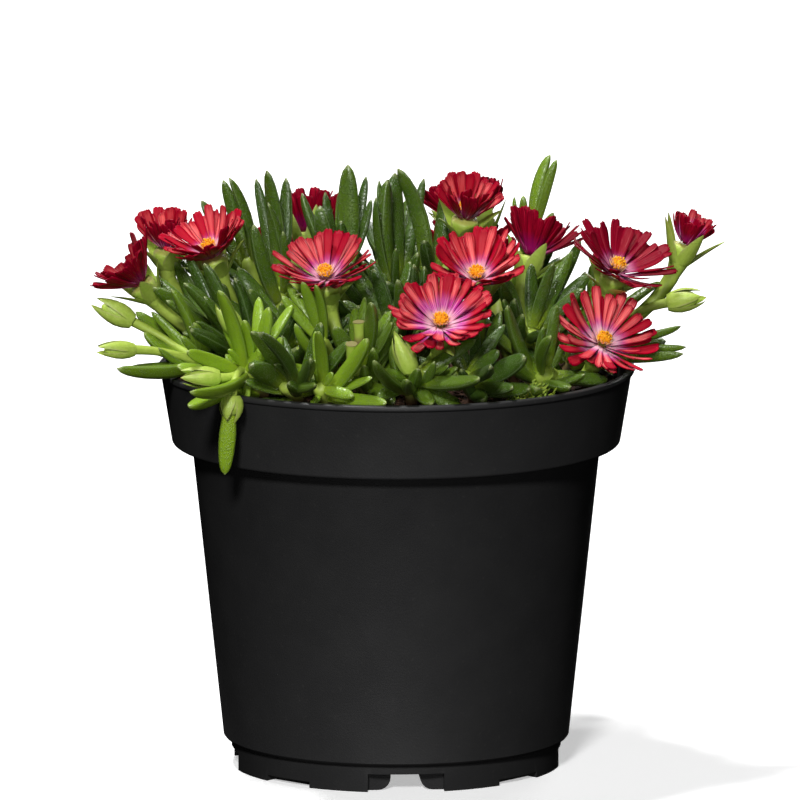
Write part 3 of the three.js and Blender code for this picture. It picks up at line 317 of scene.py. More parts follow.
pot.data.materials.append(pot_plastic())
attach(pot, "root")
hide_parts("pot")


# Peat: the plug of dark reddish-brown peat that fills the pot to a few millimetres under the lip, pressed in
# by hand, with a crumbly top. Loose crumbs and fibres lie on it.
SOIL_TOP = 0.1036
SOIL_BUMP = 0.0007
SOIL_GAP = 0.0005
SOIL_RINGS = 46
SOIL_STEPS = 150
HUMPS = (0.0032, 0.0037)
RIPPLES = (0.0014, 0.0017)
LUMPS = 0.004
GRIT = 0.0017
CRUMBS = 900
CRUMB_SHAPE = (1, 0.8, 0.7)
CRUMB_SIZE = (0.0006, 0.0019)
CRUMB_EDGE = 0.002
CRUMB_TIP = 0.3
CRUMB_LIFT = 0.25
FIBRES = 120
FIBRE_SIZE = 0.00028
FIBRE_STRETCH = (8, 22)
collar_rise = (SOIL_TOP - COLLAR_FOOT) / (POT_HEIGHT - COLLAR_FOOT)
SOIL_RADIUS = COLLAR_FOOT_RADIUS + (COLLAR_TOP_RADIUS - COLLAR_FOOT_RADIUS) * collar_rise - WALL - SOIL_GAP


def soil_height(x, y):
    """The peat's broad humps, as the plug has them, with lumps and grit on top."""
    humps = math.sin(x / HUMPS[0]) * math.cos(y / HUMPS[1]) + 0.4 * math.sin(x / RIPPLES[0] - y / RIPPLES[1])
    lumps = noise.noise((x / LUMPS, y / LUMPS, 0.3))
    grit = noise.noise((x / GRIT, y / GRIT, 4.1))
    return SOIL_TOP + SOIL_BUMP * (0.7 * humps + 0.9 * lumps + 0.9 * grit)


def peat():
    """Peat: dark brown in patches, with redder grains."""
    finish = Finish("peat", Roughness=0.95, Specular_IOR_Level=0.2)
    dark_brown = (0.022, 0.011, 0.007)
    brown = (0.062, 0.030, 0.018)
    red_brown = (0.19, 0.085, 0.048)
    patches = finish.noise(0.006, 4.0, 0.7)
    grain = finish.noise(0.0009, 4.0, 0.7)
    colour = finish.blend(patches, dark_brown, brown)
    colour = finish.blend(finish.rise(grain, 0.5, 0.72), colour, red_brown)
    return finish.surface(Base_Color=colour, Normal=finish.bump(grain, 0.9, 0.0006))


def wear(piece, material):
    """A finished piece of the plant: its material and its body."""
    piece.data.materials.clear()
    piece.data.materials.append(material)
    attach(piece, "root")


def bead(name, shape):
    """A small rounded shape with few faces, to be copied."""
    deselect_all()
    bpy.ops.mesh.primitive_ico_sphere_add(subdivisions=1, radius=1)
    bpy.ops.object.mode_set(mode="EDIT")
    bpy.ops.transform.resize(value=shape)
    bpy.ops.object.mode_set(mode="OBJECT")
    return newly_added(name)


def joined(name, copies):
    deselect_all()
    for copy in copies:
        copy.select_set(True)
    bpy.context.view_layer.objects.active = copies[0]
    bpy.ops.object.join()
    return newly_added(name)


def points_of(piece):
    corners = np.empty(len(piece.data.vertices) * 3)
    piece.data.vertices.foreach_get("co", corners)
    return corners.reshape(-1, 3)


def give(piece, name, values):
    """Numbers for the material, one for each corner of the piece."""
    attribute = piece.data.attributes.new(name, "FLOAT", "POINT")
    attribute.data.foreach_set("value", np.asarray(values, dtype=np.float32))


def moved_copy(template, corners, **values):
    """A copy of a modelled shape with its own mesh, its corners moved and numbers for its material."""
    copy = template.copy()
    copy.data = template.data.copy()
    bpy.context.collection.objects.link(copy)
    copy.data.vertices.foreach_set("co", np.asarray(corners, dtype=np.float32).ravel())
    for name, value in values.items():
        give(copy, name, np.full(len(corners), value))
    return copy


def draws(seed):
    """Even random draws between low and high, the same ones each time for a seed."""
    state = (seed * 7919 + 104729) % 2147483647

    def draw(low, high):
        nonlocal state
        state = (state * 16807) % 2147483647
        return low + (high - low) * state / 2147483647

    return draw


soil_profile = [
    (0, GROOVE_HEIGHT + WALL + SOIL_GAP),
    (FOOT_RADIUS - 3 * WALL, GROOVE_HEIGHT + WALL + SOIL_GAP),
    (BODY_FOOT_RADIUS - WALL - SOIL_GAP, LEDGE + 2.5 * WALL),
    (BODY_TOP_RADIUS - WALL - SOIL_GAP, COLLAR_FOOT + WALL + SOIL_GAP),
    (COLLAR_FOOT_RADIUS - WALL - SOIL_GAP, COLLAR_FOOT + 2 * WALL + SOIL_GAP),
    *((SOIL_RADIUS * (1 - i / SOIL_RINGS), SOIL_TOP) for i in range(SOIL_RINGS + 1)),
]
soil = turned_shape("peat_plug", soil_profile, SOIL_STEPS)
for vertex in soil.data.vertices:
    if vertex.co.z > SOIL_TOP - 1e-5:
        vertex.co.z = soil_height(vertex.co.x, vertex.co.y)
smooth(soil, 60)
peat_material = peat()
wear(soil, peat_material)
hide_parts("soil")

crumb = bead("crumb", CRUMB_SHAPE)
crumb_corners = points_of(crumb)
draw = draws(7)
crumbs = []
for i in range(CRUMBS + FIBRES):
    reach = (SOIL_RADIUS - CRUMB_EDGE) * math.sqrt(draw(0.02, 1))
    turn = draw(0, math.tau)
    size = draw(*CRUMB_SIZE) * (0.45 + 0.55 * draw(0, 1) ** 3)
    stretch = np.array([draw(0.7, 1.5), draw(0.6, 1.1), draw(0.6, 1.0)])
    if i >= CRUMBS:
        size = FIBRE_SIZE
        stretch = np.array([draw(*FIBRE_STRETCH), 1, 1])
    long, y, high = (crumb_corners * stretch * size).T
    spin = draw(0, math.tau)
    tip = draw(-CRUMB_TIP, CRUMB_TIP)
    x = long * math.cos(tip) - high * math.sin(tip)
    z = long * math.sin(tip) + high * math.cos(tip)
    place = (reach * math.cos(turn), reach * math.sin(turn))
    across = place[0] + x * math.cos(spin) - y * math.sin(spin)
    back = place[1] + x * math.sin(spin) + y * math.cos(spin)
    up = soil_height(*place) + z + size * CRUMB_LIFT
    crumbs.append(moved_copy(crumb, np.stack([across, back, up], axis=1)))
bpy.data.objects.remove(crumb)
crumbs = joined("peat_crumbs", crumbs)
wear(crumbs, peat_material)


# Petals: each bloom has its satin petals in two layers on a small disc, grown with the flower. Each is a
# narrow strap with an uneven tip, creased along its middle, crimson to coral, and lilac towards the disc. The
# coral is partly painted sheen, with painted highlights on it, and the darker blooms are partly painted
# shade.
# First, the photo's frame: the pot's axis, the ground under it, the scale, and how far the camera looks down.
AXIS_X = 396.2
GROUND_Y = 762
PIXELS_PER_METRE = 3668
TILT = math.radians(10.1)
RIGHT = np.array([1.0, 0.0, 0.0])
UP = np.array([0.0, math.sin(TILT), math.cos(TILT)])
TOWARD = np.array([0.0, -math.cos(TILT), math.sin(TILT)])
# The solids' petals, which tell the leaves where to keep clear
PETAL_LENGTH = 0.013
PETAL_WIDTH = 0.0023
PETAL_OUTLINE = [(0, 0.5), (1, 1)]
DISC_RADIUS = 0.0026
DISC_HEIGHT = 0.00045
PETAL_TURN_DRAW = 0.12
PETAL_SPREAD_DRAW = 4
PETAL_LENGTH_DRAW = (0.92, 1.06)
PETAL_WIDTH_DRAW = (0.9, 1.08)
INNER_LAYER_TILT = 12
INNER_LAYER_SHARE = 0.92
INNER_LAYER_RISE = 0.00095
# The fine petals: how many for each of the solids', their shape, and what is drawn for each
FINE_PETALS = 1.75
FINE_PETAL_WIDTH = 0.0032
PETAL_THICKNESS = 0.00026
PETAL_CREASE = 0.08
PETAL_SHARES = [0, 0.12, 0.28, 0.45, 0.62, 0.78, 0.9, 0.97, 1]
PETAL_WIDTHS = [0.42, 0.48, 0.57, 0.7, 0.86, 1, 0.95, 0.78, 0.54]
# How far short of the tip five places across it end: notched, pointed and slanting tips
PETAL_TIPS = [(0.9, 0.1, 0.5, 0.0, 0.8), (1.6, 0.6, 0.0, 0.5, 1.4), (0.3, 0.0, 0.4, 0.9, 1.8)]
PETAL_ROOT = 0.0010
PETAL_LOOKS_IN = 0.15
FINE_TURN_DRAW = (-0.3, 0.3)
FINE_SPREAD_DRAW = (-8, 7)
FINE_LENGTH_DRAW = (0.84, 1.08)
FINE_RISE_DRAW = (-0.0003, 0.0003)
FINE_SAG_DRAW = (-0.03, 0.1)
FINE_TWIST_DRAW = (-0.35, 0.35)
FINE_WIDTH_DRAW = (0.7, 1.1)
# The flower whose petals on the right have dried to thin strips
WITHERED = "flower_right_low"
WITHERED_FROM = 0.45
WITHERED_SHARE = 0.4
# Each flower leaves its shoot at a share of the stem, and has its cup at a place in the photo's frame, with
# the depth behind the pot's axis in metres. It faces so far right, up and towards the camera. Its petals
# spread so many degrees from its axis, near ones a fold more. Deep is how dark they are, partly their own
# deeper colour and partly painted shade, and lilac is how far the lilac colour reaches.
USUAL_FLOWER = dict(reach=1, back=0, sepals=1, lilac=0.28, deep_and_shaded=0, fold=12)
FLOWERS = [
    dict(
        name="flower_left_side", on="shoot_left_flank", start=0.9, cup=(141, 283, -0.004),
        facing=(-0.6, 0.7, 0.36), spread=37, petals=(10, 7), back=0.6, deep_and_shaded=0.7, fold=0,
    ),
    dict(
        name="flower_left_back", on="shoot_left_back", start=0.7, cup=(166, 248, 0.017),
        facing=(-0.04, 0.9, 0.42), spread=33, petals=(10, 7), reach=0.75, fold=-15,
    ),
    dict(
        name="flower_left", on="shoot_left_back", start=0.3, cup=(213, 257, -0.003),
        facing=(-0.34, 0.88, 0.34), spread=50, petals=(12, 9), reach=0.98, lilac=0.3, fold=6,
    ),
    dict(
        name="flower_middle_left", on="shoot_front_cut", start=0.8, cup=(327, 283, -0.024),
        facing=(-0.12, 0.87, 0.47), spread=56, petals=(12, 9), reach=1.06, lilac=0.36, deep_and_shaded=0.35,
    ),
    dict(
        name="flower_back_left", on="shoot_top_left_middle", start=0.6, cup=(308, 231, 0.038),
        facing=(0, 0.98, -0.15), spread=13, petals=(9, 6), reach=0.85, deep_and_shaded=1,
    ),
    dict(
        name="flower_back_middle", on="shoot_top_left_middle", start=0.7, cup=(340, 234, 0.058),
        facing=(0.05, 0.98, -0.1), spread=15, petals=(8, 5), reach=0.85, deep_and_shaded=1,
    ),
    dict(
        name="flower_top_left", on="shoot_top_right", start=0.8, cup=(457, 217, 0.031),
        facing=(-0.45, 0.88, -0.1), spread=19, petals=(9, 6), reach=0.8, deep_and_shaded=0.9,
    ),
    dict(
        name="flower_top", on="shoot_top_right", start=0.9, cup=(465, 217, 0.012),
        facing=(0.1, 0.84, 0.53), spread=40, petals=(12, 8), reach=0.82, deep_and_shaded=0.2, fold=-22,
    ),
    dict(
        name="flower_top_back", on="shoot_top_right", start=0.7, cup=(482, 215, 0.050),
        facing=(0.02, 0.97, -0.1), spread=15, petals=(9, 5), reach=0.78, deep_and_shaded=0.9,
    ),
    dict(
        name="flower_middle_right", on="shoot_front_right", start=0.5, cup=(477, 283, -0.018),
        facing=(-0.05, 0.82, 0.57), spread=48, petals=(13, 10), reach=1.06, lilac=0.34,
    ),
    dict(
        name="flower_front", on="shoot_front_middle", start=1, cup=(440, 329, -0.042),
        facing=(0.05, 0.72, 0.69), spread=59, petals=(14, 11), reach=1.02, lilac=0.5,
    ),
    dict(
        name="flower_dark", on="shoot_right_middle", start=0.8, cup=(532, 256, 0.013),
        facing=(0.28, 0.94, -0.1), spread=42, petals=(10, 7), deep_and_shaded=0.95, fold=-15,
    ),
    dict(
        name="flower_right", on="shoot_right_flank", start=0.9, cup=(614, 275, -0.003),
        facing=(0.34, 0.84, 0.42), spread=57, petals=(13, 9), reach=1.1, deep_and_shaded=0.9,
    ),
    dict(
        name="flower_right_low", on="shoot_right_front", start=0.9, cup=(600, 347, -0.014),
        facing=(0.28, 0.69, 0.67), spread=61, petals=(13, 9), reach=1.1, lilac=0.34,
    ),
    dict(
        name="flower_half_open", on="shoot_right_flank", start=0.8, cup=(686, 244, 0.012),
        facing=(0.38, 0.9, 0.2), spread=28, petals=(9, 5), reach=0.62, sepals=1.3, lilac=0.6, deep_and_shaded=0.55,
        fold=-12,
    ),
    dict(
        name="flower_back_one", on="shoot_back_left", start=0.9, cup=(292, 262, 0.066),
        facing=(-0.1, 0.8, -0.6), spread=60, petals=(9, 6),
    ),
    dict(
        name="flower_back_two", on="shoot_back_right", start=0.9, cup=(470, 258, 0.070),
        facing=(0.1, 0.8, -0.6), spread=60, petals=(9, 6),
    ),
]
FLOWERS = [USUAL_FLOWER | flower for flower in FLOWERS]


def in_view(place):
    """A place in the photo's frame, with a depth behind the pot's axis, as a point of the model."""
    x, y, depth = place
    up = (GROUND_Y - y) / PIXELS_PER_METRE
    z = (up - depth * math.sin(TILT)) / math.cos(TILT)
    return np.array([(x - AXIS_X) / PIXELS_PER_METRE, depth, z])


def unit(vector):
    return vector / np.linalg.norm(vector)


class Bend:
    """A quadratic curve through the air: start, the corner that it bends round, and end."""

    def __init__(self, start, corner, end):
        self.start, self.corner, self.end = (np.asarray(p, float) for p in (start, corner, end))

    def at(self, share):
        share = np.asarray(share, float)[..., None]
        rest = 1 - share
        return rest**2 * self.start + 2 * rest * share * self.corner + share**2 * self.end

    def way(self, share):
        share = np.asarray(share, float)[..., None]
        way = (1 - share) * (self.corner - self.start) + share * (self.end - self.corner)
        return way / np.linalg.norm(way, axis=-1, keepdims=True)


def straight(start, end):
    return Bend(start, (start + end) / 2, end)


MOST_BALLS = 30000
LEAST_BALL = 0.00035
GAP = 0.0003
OWN_CLEARANCE = 0.8
OWN_START = 0.3


class Space:
    """Balls that pieces already fill, so that later ones keep clear of them."""

    def __init__(self):
        self.count = 0
        self.points = np.zeros((MOST_BALLS, 3))
        self.radii = np.zeros(MOST_BALLS)
        self.shares = np.zeros(MOST_BALLS)
        self.nodes = np.zeros(MOST_BALLS, int)
        self.names = {}

    def node(self, name):
        return self.names.setdefault(name, len(self.names))

    def fill(self, name, balls):
        points, radii, shares = balls
        last = self.count + len(radii)
        self.points[self.count : last] = points
        self.radii[self.count : last] = radii
        self.shares[self.count : last] = shares
        self.nodes[self.count : last] = self.node(name)
        self.count = last

    def clear(self, name, balls):
        """Leaves of one shoot may meet near their roots, but not further out."""
        points, radii, shares = balls
        n = self.count
        own = (self.nodes[:n] == self.node(name))[None, :]
        away = ((points[:, None] - self.points[None, :n]) ** 2).sum(-1)
        reach = radii[:, None] + self.radii[None, :n]
        near = np.where(own, reach * OWN_CLEARANCE, reach + GAP)
        roots = own & ((shares[:, None] < OWN_START) | (self.shares[None, :n] < OWN_START))
        return bool(np.all(roots | (away > near**2)))


space = Space()


def balls_along(curve, outline, width, start, count):
    shares = start + (1 - start) * np.arange(count + 1) / count
    radii = width * np.interp(shares, [s for s, _ in outline], [w for _, w in outline]) / 2
    return curve.at(shares), np.maximum(radii, LEAST_BALL), shares


def flower_frame(flower):
    """A flower's cup, its axis and two directions across it."""
    right, up, toward = flower["facing"]
    axis = unit(RIGHT * right + UP * up + TOWARD * toward)
    first = unit(np.cross(axis, RIGHT))
    return in_view(flower["cup"]), axis, first, np.cross(axis, first)


def flower_point(stand, turn, radius, height):
    cup, axis, first, second = stand
    return cup + axis * height + first * math.cos(turn) * radius + second * math.sin(turn) * radius


def petal_share(flower, outward, layer):
    """The share of the full length that a flower's petals have on one side and in one layer."""
    reach = flower["reach"] * (1 - flower["back"] * max(0, -outward @ TOWARD))
    return reach * (INNER_LAYER_SHARE if layer else 1)


def petal_line(stand, turn, degrees, length, rise):
    lean = math.radians(degrees)
    height = DISC_HEIGHT + rise
    reach = DISC_RADIUS + length * math.sin(lean)
    start = flower_point(stand, turn, DISC_RADIUS, height)
    return straight(start, flower_point(stand, turn, reach, height + length * math.cos(lean)))


def point_outwards(piece):
    select_only(piece)
    bpy.ops.object.mode_set(mode="EDIT")
    bpy.ops.mesh.select_all(action="SELECT")
    bpy.ops.mesh.normals_make_consistent(inside=False)
    bpy.ops.object.mode_set(mode="OBJECT")


def strap(name, length, width, tip):
    """A thin closed petal that stands on its foot: a grid shaped row by row and creased along its middle."""
    rows, columns = len(PETAL_SHARES) - 1, len(tip) - 1
    deselect_all()
    bpy.ops.mesh.primitive_grid_add(x_subdivisions=columns, y_subdivisions=rows, size=1)
    piece = newly_added(name)
    corners = points_of(piece)
    row = np.rint((corners[:, 1] + 0.5) * rows).astype(int)
    aside = 2 * corners[:, 0]
    along = np.array(PETAL_SHARES)[row]
    wide = np.array(PETAL_WIDTHS)[row] * width / 2
    short = np.array(tip)[np.rint((aside + 1) / 2 * columns).astype(int)] * wide
    corners[:, 0] = aside * wide
    corners[:, 1] = PETAL_CREASE * wide * (np.abs(aside) ** 1.5 - 0.5)
    corners[:, 2] = length * along - np.where(row == rows, short, 0)
    piece.data.vertices.foreach_set("co", corners.ravel())
    give(piece, "along", along)
    give(piece, "aside", aside)
    middle = np.tile(corners[:, 1], 2)
    apply_modifier(piece, "SOLIDIFY", thickness=PETAL_THICKNESS, offset=0)
    give(piece, "level", points_of(piece)[:, 1] > middle)
    point_outwards(piece)
    bpy.ops.object.shade_smooth()
    piece["length"] = length
    return piece


def along_curve(template, curve, face, broad, thick, **values):
    """A copy of a shape that stands on its foot, bent along a curve with its upper side towards face."""
    corners = points_of(template)
    share = np.clip(corners[:, 2] / template["length"], 0, 1)
    way = curve.way(share)
    side = np.cross(face, way)
    side /= np.linalg.norm(side, axis=1, keepdims=True)
    top = np.cross(way, side)
    places = curve.at(share) + side * corners[:, :1] * broad + top * corners[:, 1:2] * thick
    return moved_copy(template, places, **values)


def petal_satin():
    """Petals: satin, streaked from crimson to coral on the inner face, with lilac and pale streaks towards
    the disc. The coral is partly the petals' own colour and partly painted sheen, its pale streaks are
    painted highlights, and the darker colours of deep blooms are partly painted shade. The backs are maroon,
    and purple where they leave the cup."""
    finish = Finish(
        "petal_satin",
        Specular_IOR_Level=0.08,
        Subsurface_Weight=0.3,
        Subsurface_Radius=(0.0020, 0.0004, 0.0007),
    )
    crimson = (0.43, 0.0002, 0.020)
    # Coral: partly the petals' own colour, partly painted sheen.
    coral = (1.0, 0.17, 0.17)
    # Bright coral: painted highlight of the satin sheen.
    painted_highlight_coral = (1.0, 0.48, 0.46)
    # Dark crimson and dark purple: the colours of deep blooms, partly their own and partly painted shade.
    dark_crimson = (0.22, 0.0002, 0.014)
    purple = (0.46, 0.020, 0.28)
    pale_lilac = (0.86, 0.30, 0.62)
    dark_purple = (0.32, 0.008, 0.13)
    pale_pink = (0.80, 0.50, 0.56)
    maroon = (0.20, 0.0002, 0.012)
    light_maroon = (0.42, 0.002, 0.024)
    back_purple = (0.30, 0.004, 0.12)
    along = finish.own("along")
    aside = finish.own("aside")
    tint = finish.own("tint")
    # How deep a bloom is: partly its own darker colour, partly painted shade.
    deep_and_shaded = finish.own("deep_and_shaded")
    across = {0: 4.2 * aside + 61 * tint, 1: 1.3 * along, 2: 23 * tint}
    streaks = finish.noise(1.0, 3.0, 0.6, finish.node("ShaderNodeCombineXYZ", None, across))
    wavy = {0: 9 * aside, 1: 2 * along, 2: 87 * tint}
    wander = finish.noise(1.0, 1.0, 0.5, finish.node("ShaderNodeCombineXYZ", None, wavy))
    middle = finish.rise(abs(aside) + 1.4 * (wander - 0.5), 0.95, 0.25)
    length = finish.rise(along, 0.15, 0.4) * finish.rise(along + 0.3 * (wander - 0.5), 0.98, 0.78)
    # Coral in the middle of each petal, more on some petals than others: partly the petals' own colour,
    # partly painted sheen.
    painted_shine_and_coral = middle * (0.25 + 0.75 * length) * finish.rise(tint, 0.15, 0.8, 0.08)
    inner = finish.blend(painted_shine_and_coral, crimson, coral)
    # Pale coral streaks: painted highlights of the satin sheen.
    painted_sheen = finish.rise(streaks, 0.55, 0.72) * length * finish.rise(tint, 0.2, 0.7)
    inner = finish.blend(painted_sheen * 0.75, inner, painted_highlight_coral)
    # Deep blooms darker crimson, with a darker purple throat and less pale pink: partly their own colour,
    # partly painted shade.
    inner = finish.blend(deep_and_shaded * (1 - 0.35 * painted_sheen), inner, dark_crimson)
    throat = finish.blend(finish.rise(streaks, 0.4, 0.65), purple, pale_lilac)
    throat = finish.blend(deep_and_shaded * 0.8, throat, dark_purple)
    inner = finish.blend(finish.rise(along - finish.own("lilac") + 0.3 * streaks, 0.30, -0.04), inner, throat)
    pale = finish.rise(along, 0.34, 0.14) * (1 - 0.7 * deep_and_shaded)
    inner = finish.blend(pale * 0.85, inner, pale_pink)
    outer = finish.blend(finish.rise(streaks, 0.35, 0.7), maroon, light_maroon)
    outer = finish.blend(finish.rise(along, 0.55, 0.1), outer, back_purple)
    colour = finish.blend(finish.own("level"), outer, inner)
    normal = finish.bump(streaks, 0.5, 0.0003)
    return finish.surface(Base_Color=colour, Roughness=0.3 + 0.25 * streaks, Normal=normal)


petals = [strap("petal", PETAL_LENGTH, FINE_PETAL_WIDTH, tip) for tip in PETAL_TIPS]
petal_material = petal_satin()
for index, flower in enumerate(FLOWERS):
    stand = flower_frame(flower)
    cup, axis, _, _ = stand
    draw = draws(index + 1)
    fine = draws(index + 301)
    name = flower["name"] + "_petals"
    copies = []
    for layer, count in enumerate(flower["petals"]):
        for i in range(count):
            turn = (i + 0.5 * layer + draw(-PETAL_TURN_DRAW, PETAL_TURN_DRAW)) * math.tau / count
            upright = layer * INNER_LAYER_TILT + draw(-PETAL_SPREAD_DRAW, PETAL_SPREAD_DRAW)
            share = petal_share(flower, flower_point(stand, turn, 1, 0) - cup, layer)
            length = PETAL_LENGTH * share * draw(*PETAL_LENGTH_DRAW)
            width = PETAL_WIDTH * draw(*PETAL_WIDTH_DRAW)
            line = petal_line(stand, turn, flower["spread"] - upright, length, layer * INNER_LAYER_RISE)
            space.fill(name, balls_along(line, PETAL_OUTLINE, width * 0.9, 0, 8))
    for layer, solids in enumerate(flower["petals"]):
        count = round(solids * FINE_PETALS)
        for i in range(count):
            turn = (i + 0.5 * layer + fine(*FINE_TURN_DRAW)) * math.tau / count
            outward = flower_point(stand, turn, 1, 0) - cup
            near = max(0, float(outward @ TOWARD))
            upright = layer * INNER_LAYER_TILT * (1 - near)
            degrees = flower["spread"] - upright + fine(*FINE_SPREAD_DRAW) + flower["fold"] * near
            length = PETAL_LENGTH * petal_share(flower, outward, layer) * fine(*FINE_LENGTH_DRAW)
            rise = layer * INNER_LAYER_RISE + fine(*FINE_RISE_DRAW)
            line = petal_line(stand, turn, degrees, length, rise)
            sag = fine(*FINE_SAG_DRAW) * length
            corner = line.corner + outward * sag - axis * sag
            curve = Bend(line.start - outward * PETAL_ROOT, corner, line.end)
            face = axis - outward * PETAL_LOOKS_IN + np.cross(axis, outward) * fine(*FINE_TWIST_DRAW)
            template = petals[int(fine(0, len(petals)))]
            values = dict(tint=fine(0, 1), deep_and_shaded=flower["deep_and_shaded"], lilac=flower["lilac"])
            broad = fine(*FINE_WIDTH_DRAW)
            if flower["name"] == WITHERED and outward @ RIGHT > WITHERED_FROM and near > 0.1:
                broad = broad * WITHERED_SHARE
            copies.append(along_curve(template, curve, face, broad, 1.0, **values))
    blossom = joined(flower["name"] + "_fine_petals", copies)
    wear(blossom, petal_material)
    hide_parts(name)
for petal in petals:
    bpy.data.objects.remove(petal)


# Stamens: the golden boss in the middle of each bloom, grown with it: some seventy round anthers on and
# round a pale core, and thirty thin filaments that stand out under them.
BOSS_RADIUS = 0.002
BOSS_HEIGHT = 0.0032
BOSS_CENTRE = 0.0037
HALF_OPEN_SPREAD = 30
HALF_OPEN_BOSS_SHARE = 0.7
CORE_WIDTH_SHARE = 0.8
CORE_HEIGHT_SHARE = 0.46
CORE_SUNK = 0.0002
ANTHERS = 70
ANTHER_SHAPE = (0.8, 0.8, 1.25)
ANTHER_SIZE = 0.00031
ANTHER_LIFT = 0.0022
LOWEST_ANTHER = -0.7
FILAMENTS = 30
FILAMENT_WIDTH = 0.00014
FILAMENT_LENGTH = (0.0009, 0.0014)
FILAMENT_TILT = (0.9, 2.4)
FILAMENT_DROP = (-0.0010, 0.0002)
GOLDEN_TURN = math.pi * (3 - math.sqrt(5))


def pollen():
    """Stamens: orange to yellow with darker grains, and cream on the filaments, whose tint is 2."""
    finish = Finish("pollen", Roughness=0.75, Specular_IOR_Level=0.3)
    orange = (0.98, 0.40, 0.004)
    yellow = (1.0, 0.64, 0.03)
    dark_orange = (0.75, 0.24, 0.003)
    cream = (0.92, 0.62, 0.36)
    grain = finish.cells(0.00028)
    tint = finish.own("tint")
    colour = finish.blend(tint, orange, yellow)
    colour = finish.blend(finish.rise(grain, 0.3, 0.65) * 0.35, colour, dark_orange)
    colour = finish.blend(finish.rise(tint, 1.2, 1.9), colour, cream)
    return finish.surface(Base_Color=colour, Normal=finish.bump(grain, 0.6, 0.0002))


def across_and_along(way):
    """Two directions across a way, and the way itself."""
    across = unit(np.cross(way, [0.3, 0.9, 0.1]))
    return np.stack([across, np.cross(way, across), way])


anther = bead("anther", ANTHER_SHAPE)
bpy.ops.object.shade_smooth()
anther_corners = points_of(anther)
round_corners = anther_corners / np.abs(anther_corners).max(axis=0)
pollen_material = pollen()
for index, flower in enumerate(FLOWERS):
    cup, axis, first, second = flower_frame(flower)
    fine = draws(index + 401)
    radius = BOSS_RADIUS * (HALF_OPEN_BOSS_SHARE if flower["spread"] < HALF_OPEN_SPREAD else 1)
    basis = np.stack([first, second, axis])
    core_width = radius * CORE_WIDTH_SHARE
    core = round_corners * np.array([core_width, core_width, BOSS_HEIGHT * CORE_HEIGHT_SHARE])
    core[:, 2] += BOSS_CENTRE - CORE_SUNK
    copies = [moved_copy(anther, cup + core @ basis, tint=0.2)]
    for i in range(ANTHERS):
        height = 1 + (LOWEST_ANTHER - 1) * (i + 0.5) / ANTHERS
        turn = i * GOLDEN_TURN + fine(-0.3, 0.3)
        reach = math.sqrt(1 - height**2) * radius * fine(0.86, 1.02)
        rise = BOSS_CENTRE + height * BOSS_HEIGHT / 2 + fine(-0.0002, 0.0002)
        place = np.array([reach * math.cos(turn), reach * math.sin(turn), rise])
        size = ANTHER_SIZE * fine(0.8, 1.15)
        own = across_and_along(unit(np.array([place[0], place[1], ANTHER_LIFT])))
        corners = cup + (place + anther_corners @ own * size) @ basis
        copies.append(moved_copy(anther, corners, tint=fine(0, 1)))
    for i in range(FILAMENTS):
        turn = (i + fine(-0.4, 0.4)) * math.tau / FILAMENTS
        own = across_and_along(unit(np.array([math.cos(turn), math.sin(turn), fine(*FILAMENT_TILT)])))
        own = own * np.array([[FILAMENT_WIDTH], [FILAMENT_WIDTH], [fine(*FILAMENT_LENGTH)]])
        reach = radius * fine(0.85, 1.1)
        rise = BOSS_CENTRE + fine(*FILAMENT_DROP)
        place = np.array([reach * math.cos(turn), reach * math.sin(turn), rise])
        copies.append(moved_copy(anther, cup + (place + anther_corners @ own) @ basis, tint=2))
    boss = joined(flower["name"] + "_anthers", copies)
    wear(boss, pollen_material)
    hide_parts(flower["name"] + "_stamens")
bpy.data.objects.remove(anther)


# Shoots: the stems that stand in holes in the peat, and all that grows from them as one: flower stalks, the
# pale green cups and sepals under the flowers, closed buds, two cut stubs and fat three-angled leaves.
POT_MARGIN = 0.003
PEAT_CLEARANCE = SOIL_TOP + SOIL_BUMP * 1.4 + GAP
# Stems, and the flower stalks, drawn 2 mm thick
STEM_RADIUS = 0.0016
STEM_LENGTH = 0.05
STEM_BOTTOM = SOIL_TOP - 0.006
STEM_COLLAR = SOIL_TOP + 0.003
STEM_LEAN = 0.2
STEM_PEG_SHARE = 0.3
STEM_OUTLINE = [(0, 1), (STEM_PEG_SHARE, 1), (0.6, 1.8), (1, 1.6)]
STEM_SHARES = [0, 0.15, 0.3, 0.36, 0.42, 0.48, 0.54, 0.6, 0.68, 0.76, 0.84, 0.92, 0.98, 1]
STEM_WIDTHS = [1, 1, 1, 1.15, 1.05, 1.3, 1.25, 1.45, 1.35, 1.5, 1.4, 1.3, 1.0, 0.5]
STALK_RADIUS = 0.001
STALK_LENGTH = 0.02
STALK_OUTLINE = [(0, 1), (0.55, 0.95), (1, 0.85)]
STALK_SHARES = [0, 0.15, 0.3, 0.45, 0.6, 0.75, 0.88, 1]
STALK_WIDTHS = [1.15, 1.05, 1.0, 1.0, 1.02, 1.08, 1.15, 1.2]
STALK_SUNK = 0.0013
STALK_BEND = 0.45
PEDICEL_RADIUS = 0.0018
CUT_STEM_RADIUS = 0.0014
PITH = (-0.0006, 0.0002)
# The cup under each flower, with how deep in it the balls are that keep leaves clear, and their radius
CALYX_LENGTH = 0.0086
CALYX_RADIUS = 0.0036
CALYX_MOUTH_RADIUS = 0.0024
CALYX_BALLS = [(0.006, 0.002), (0.003, 0.0027)]
CUP_SHARES = [0, 0.12, 0.3, 0.5, 0.68, 0.82, 0.92, 0.97, 1]
CUP_WIDTHS = [0.6, 0.66, 0.76, 0.88, 1, 1.08, 1.1, 1.0, 0.75]
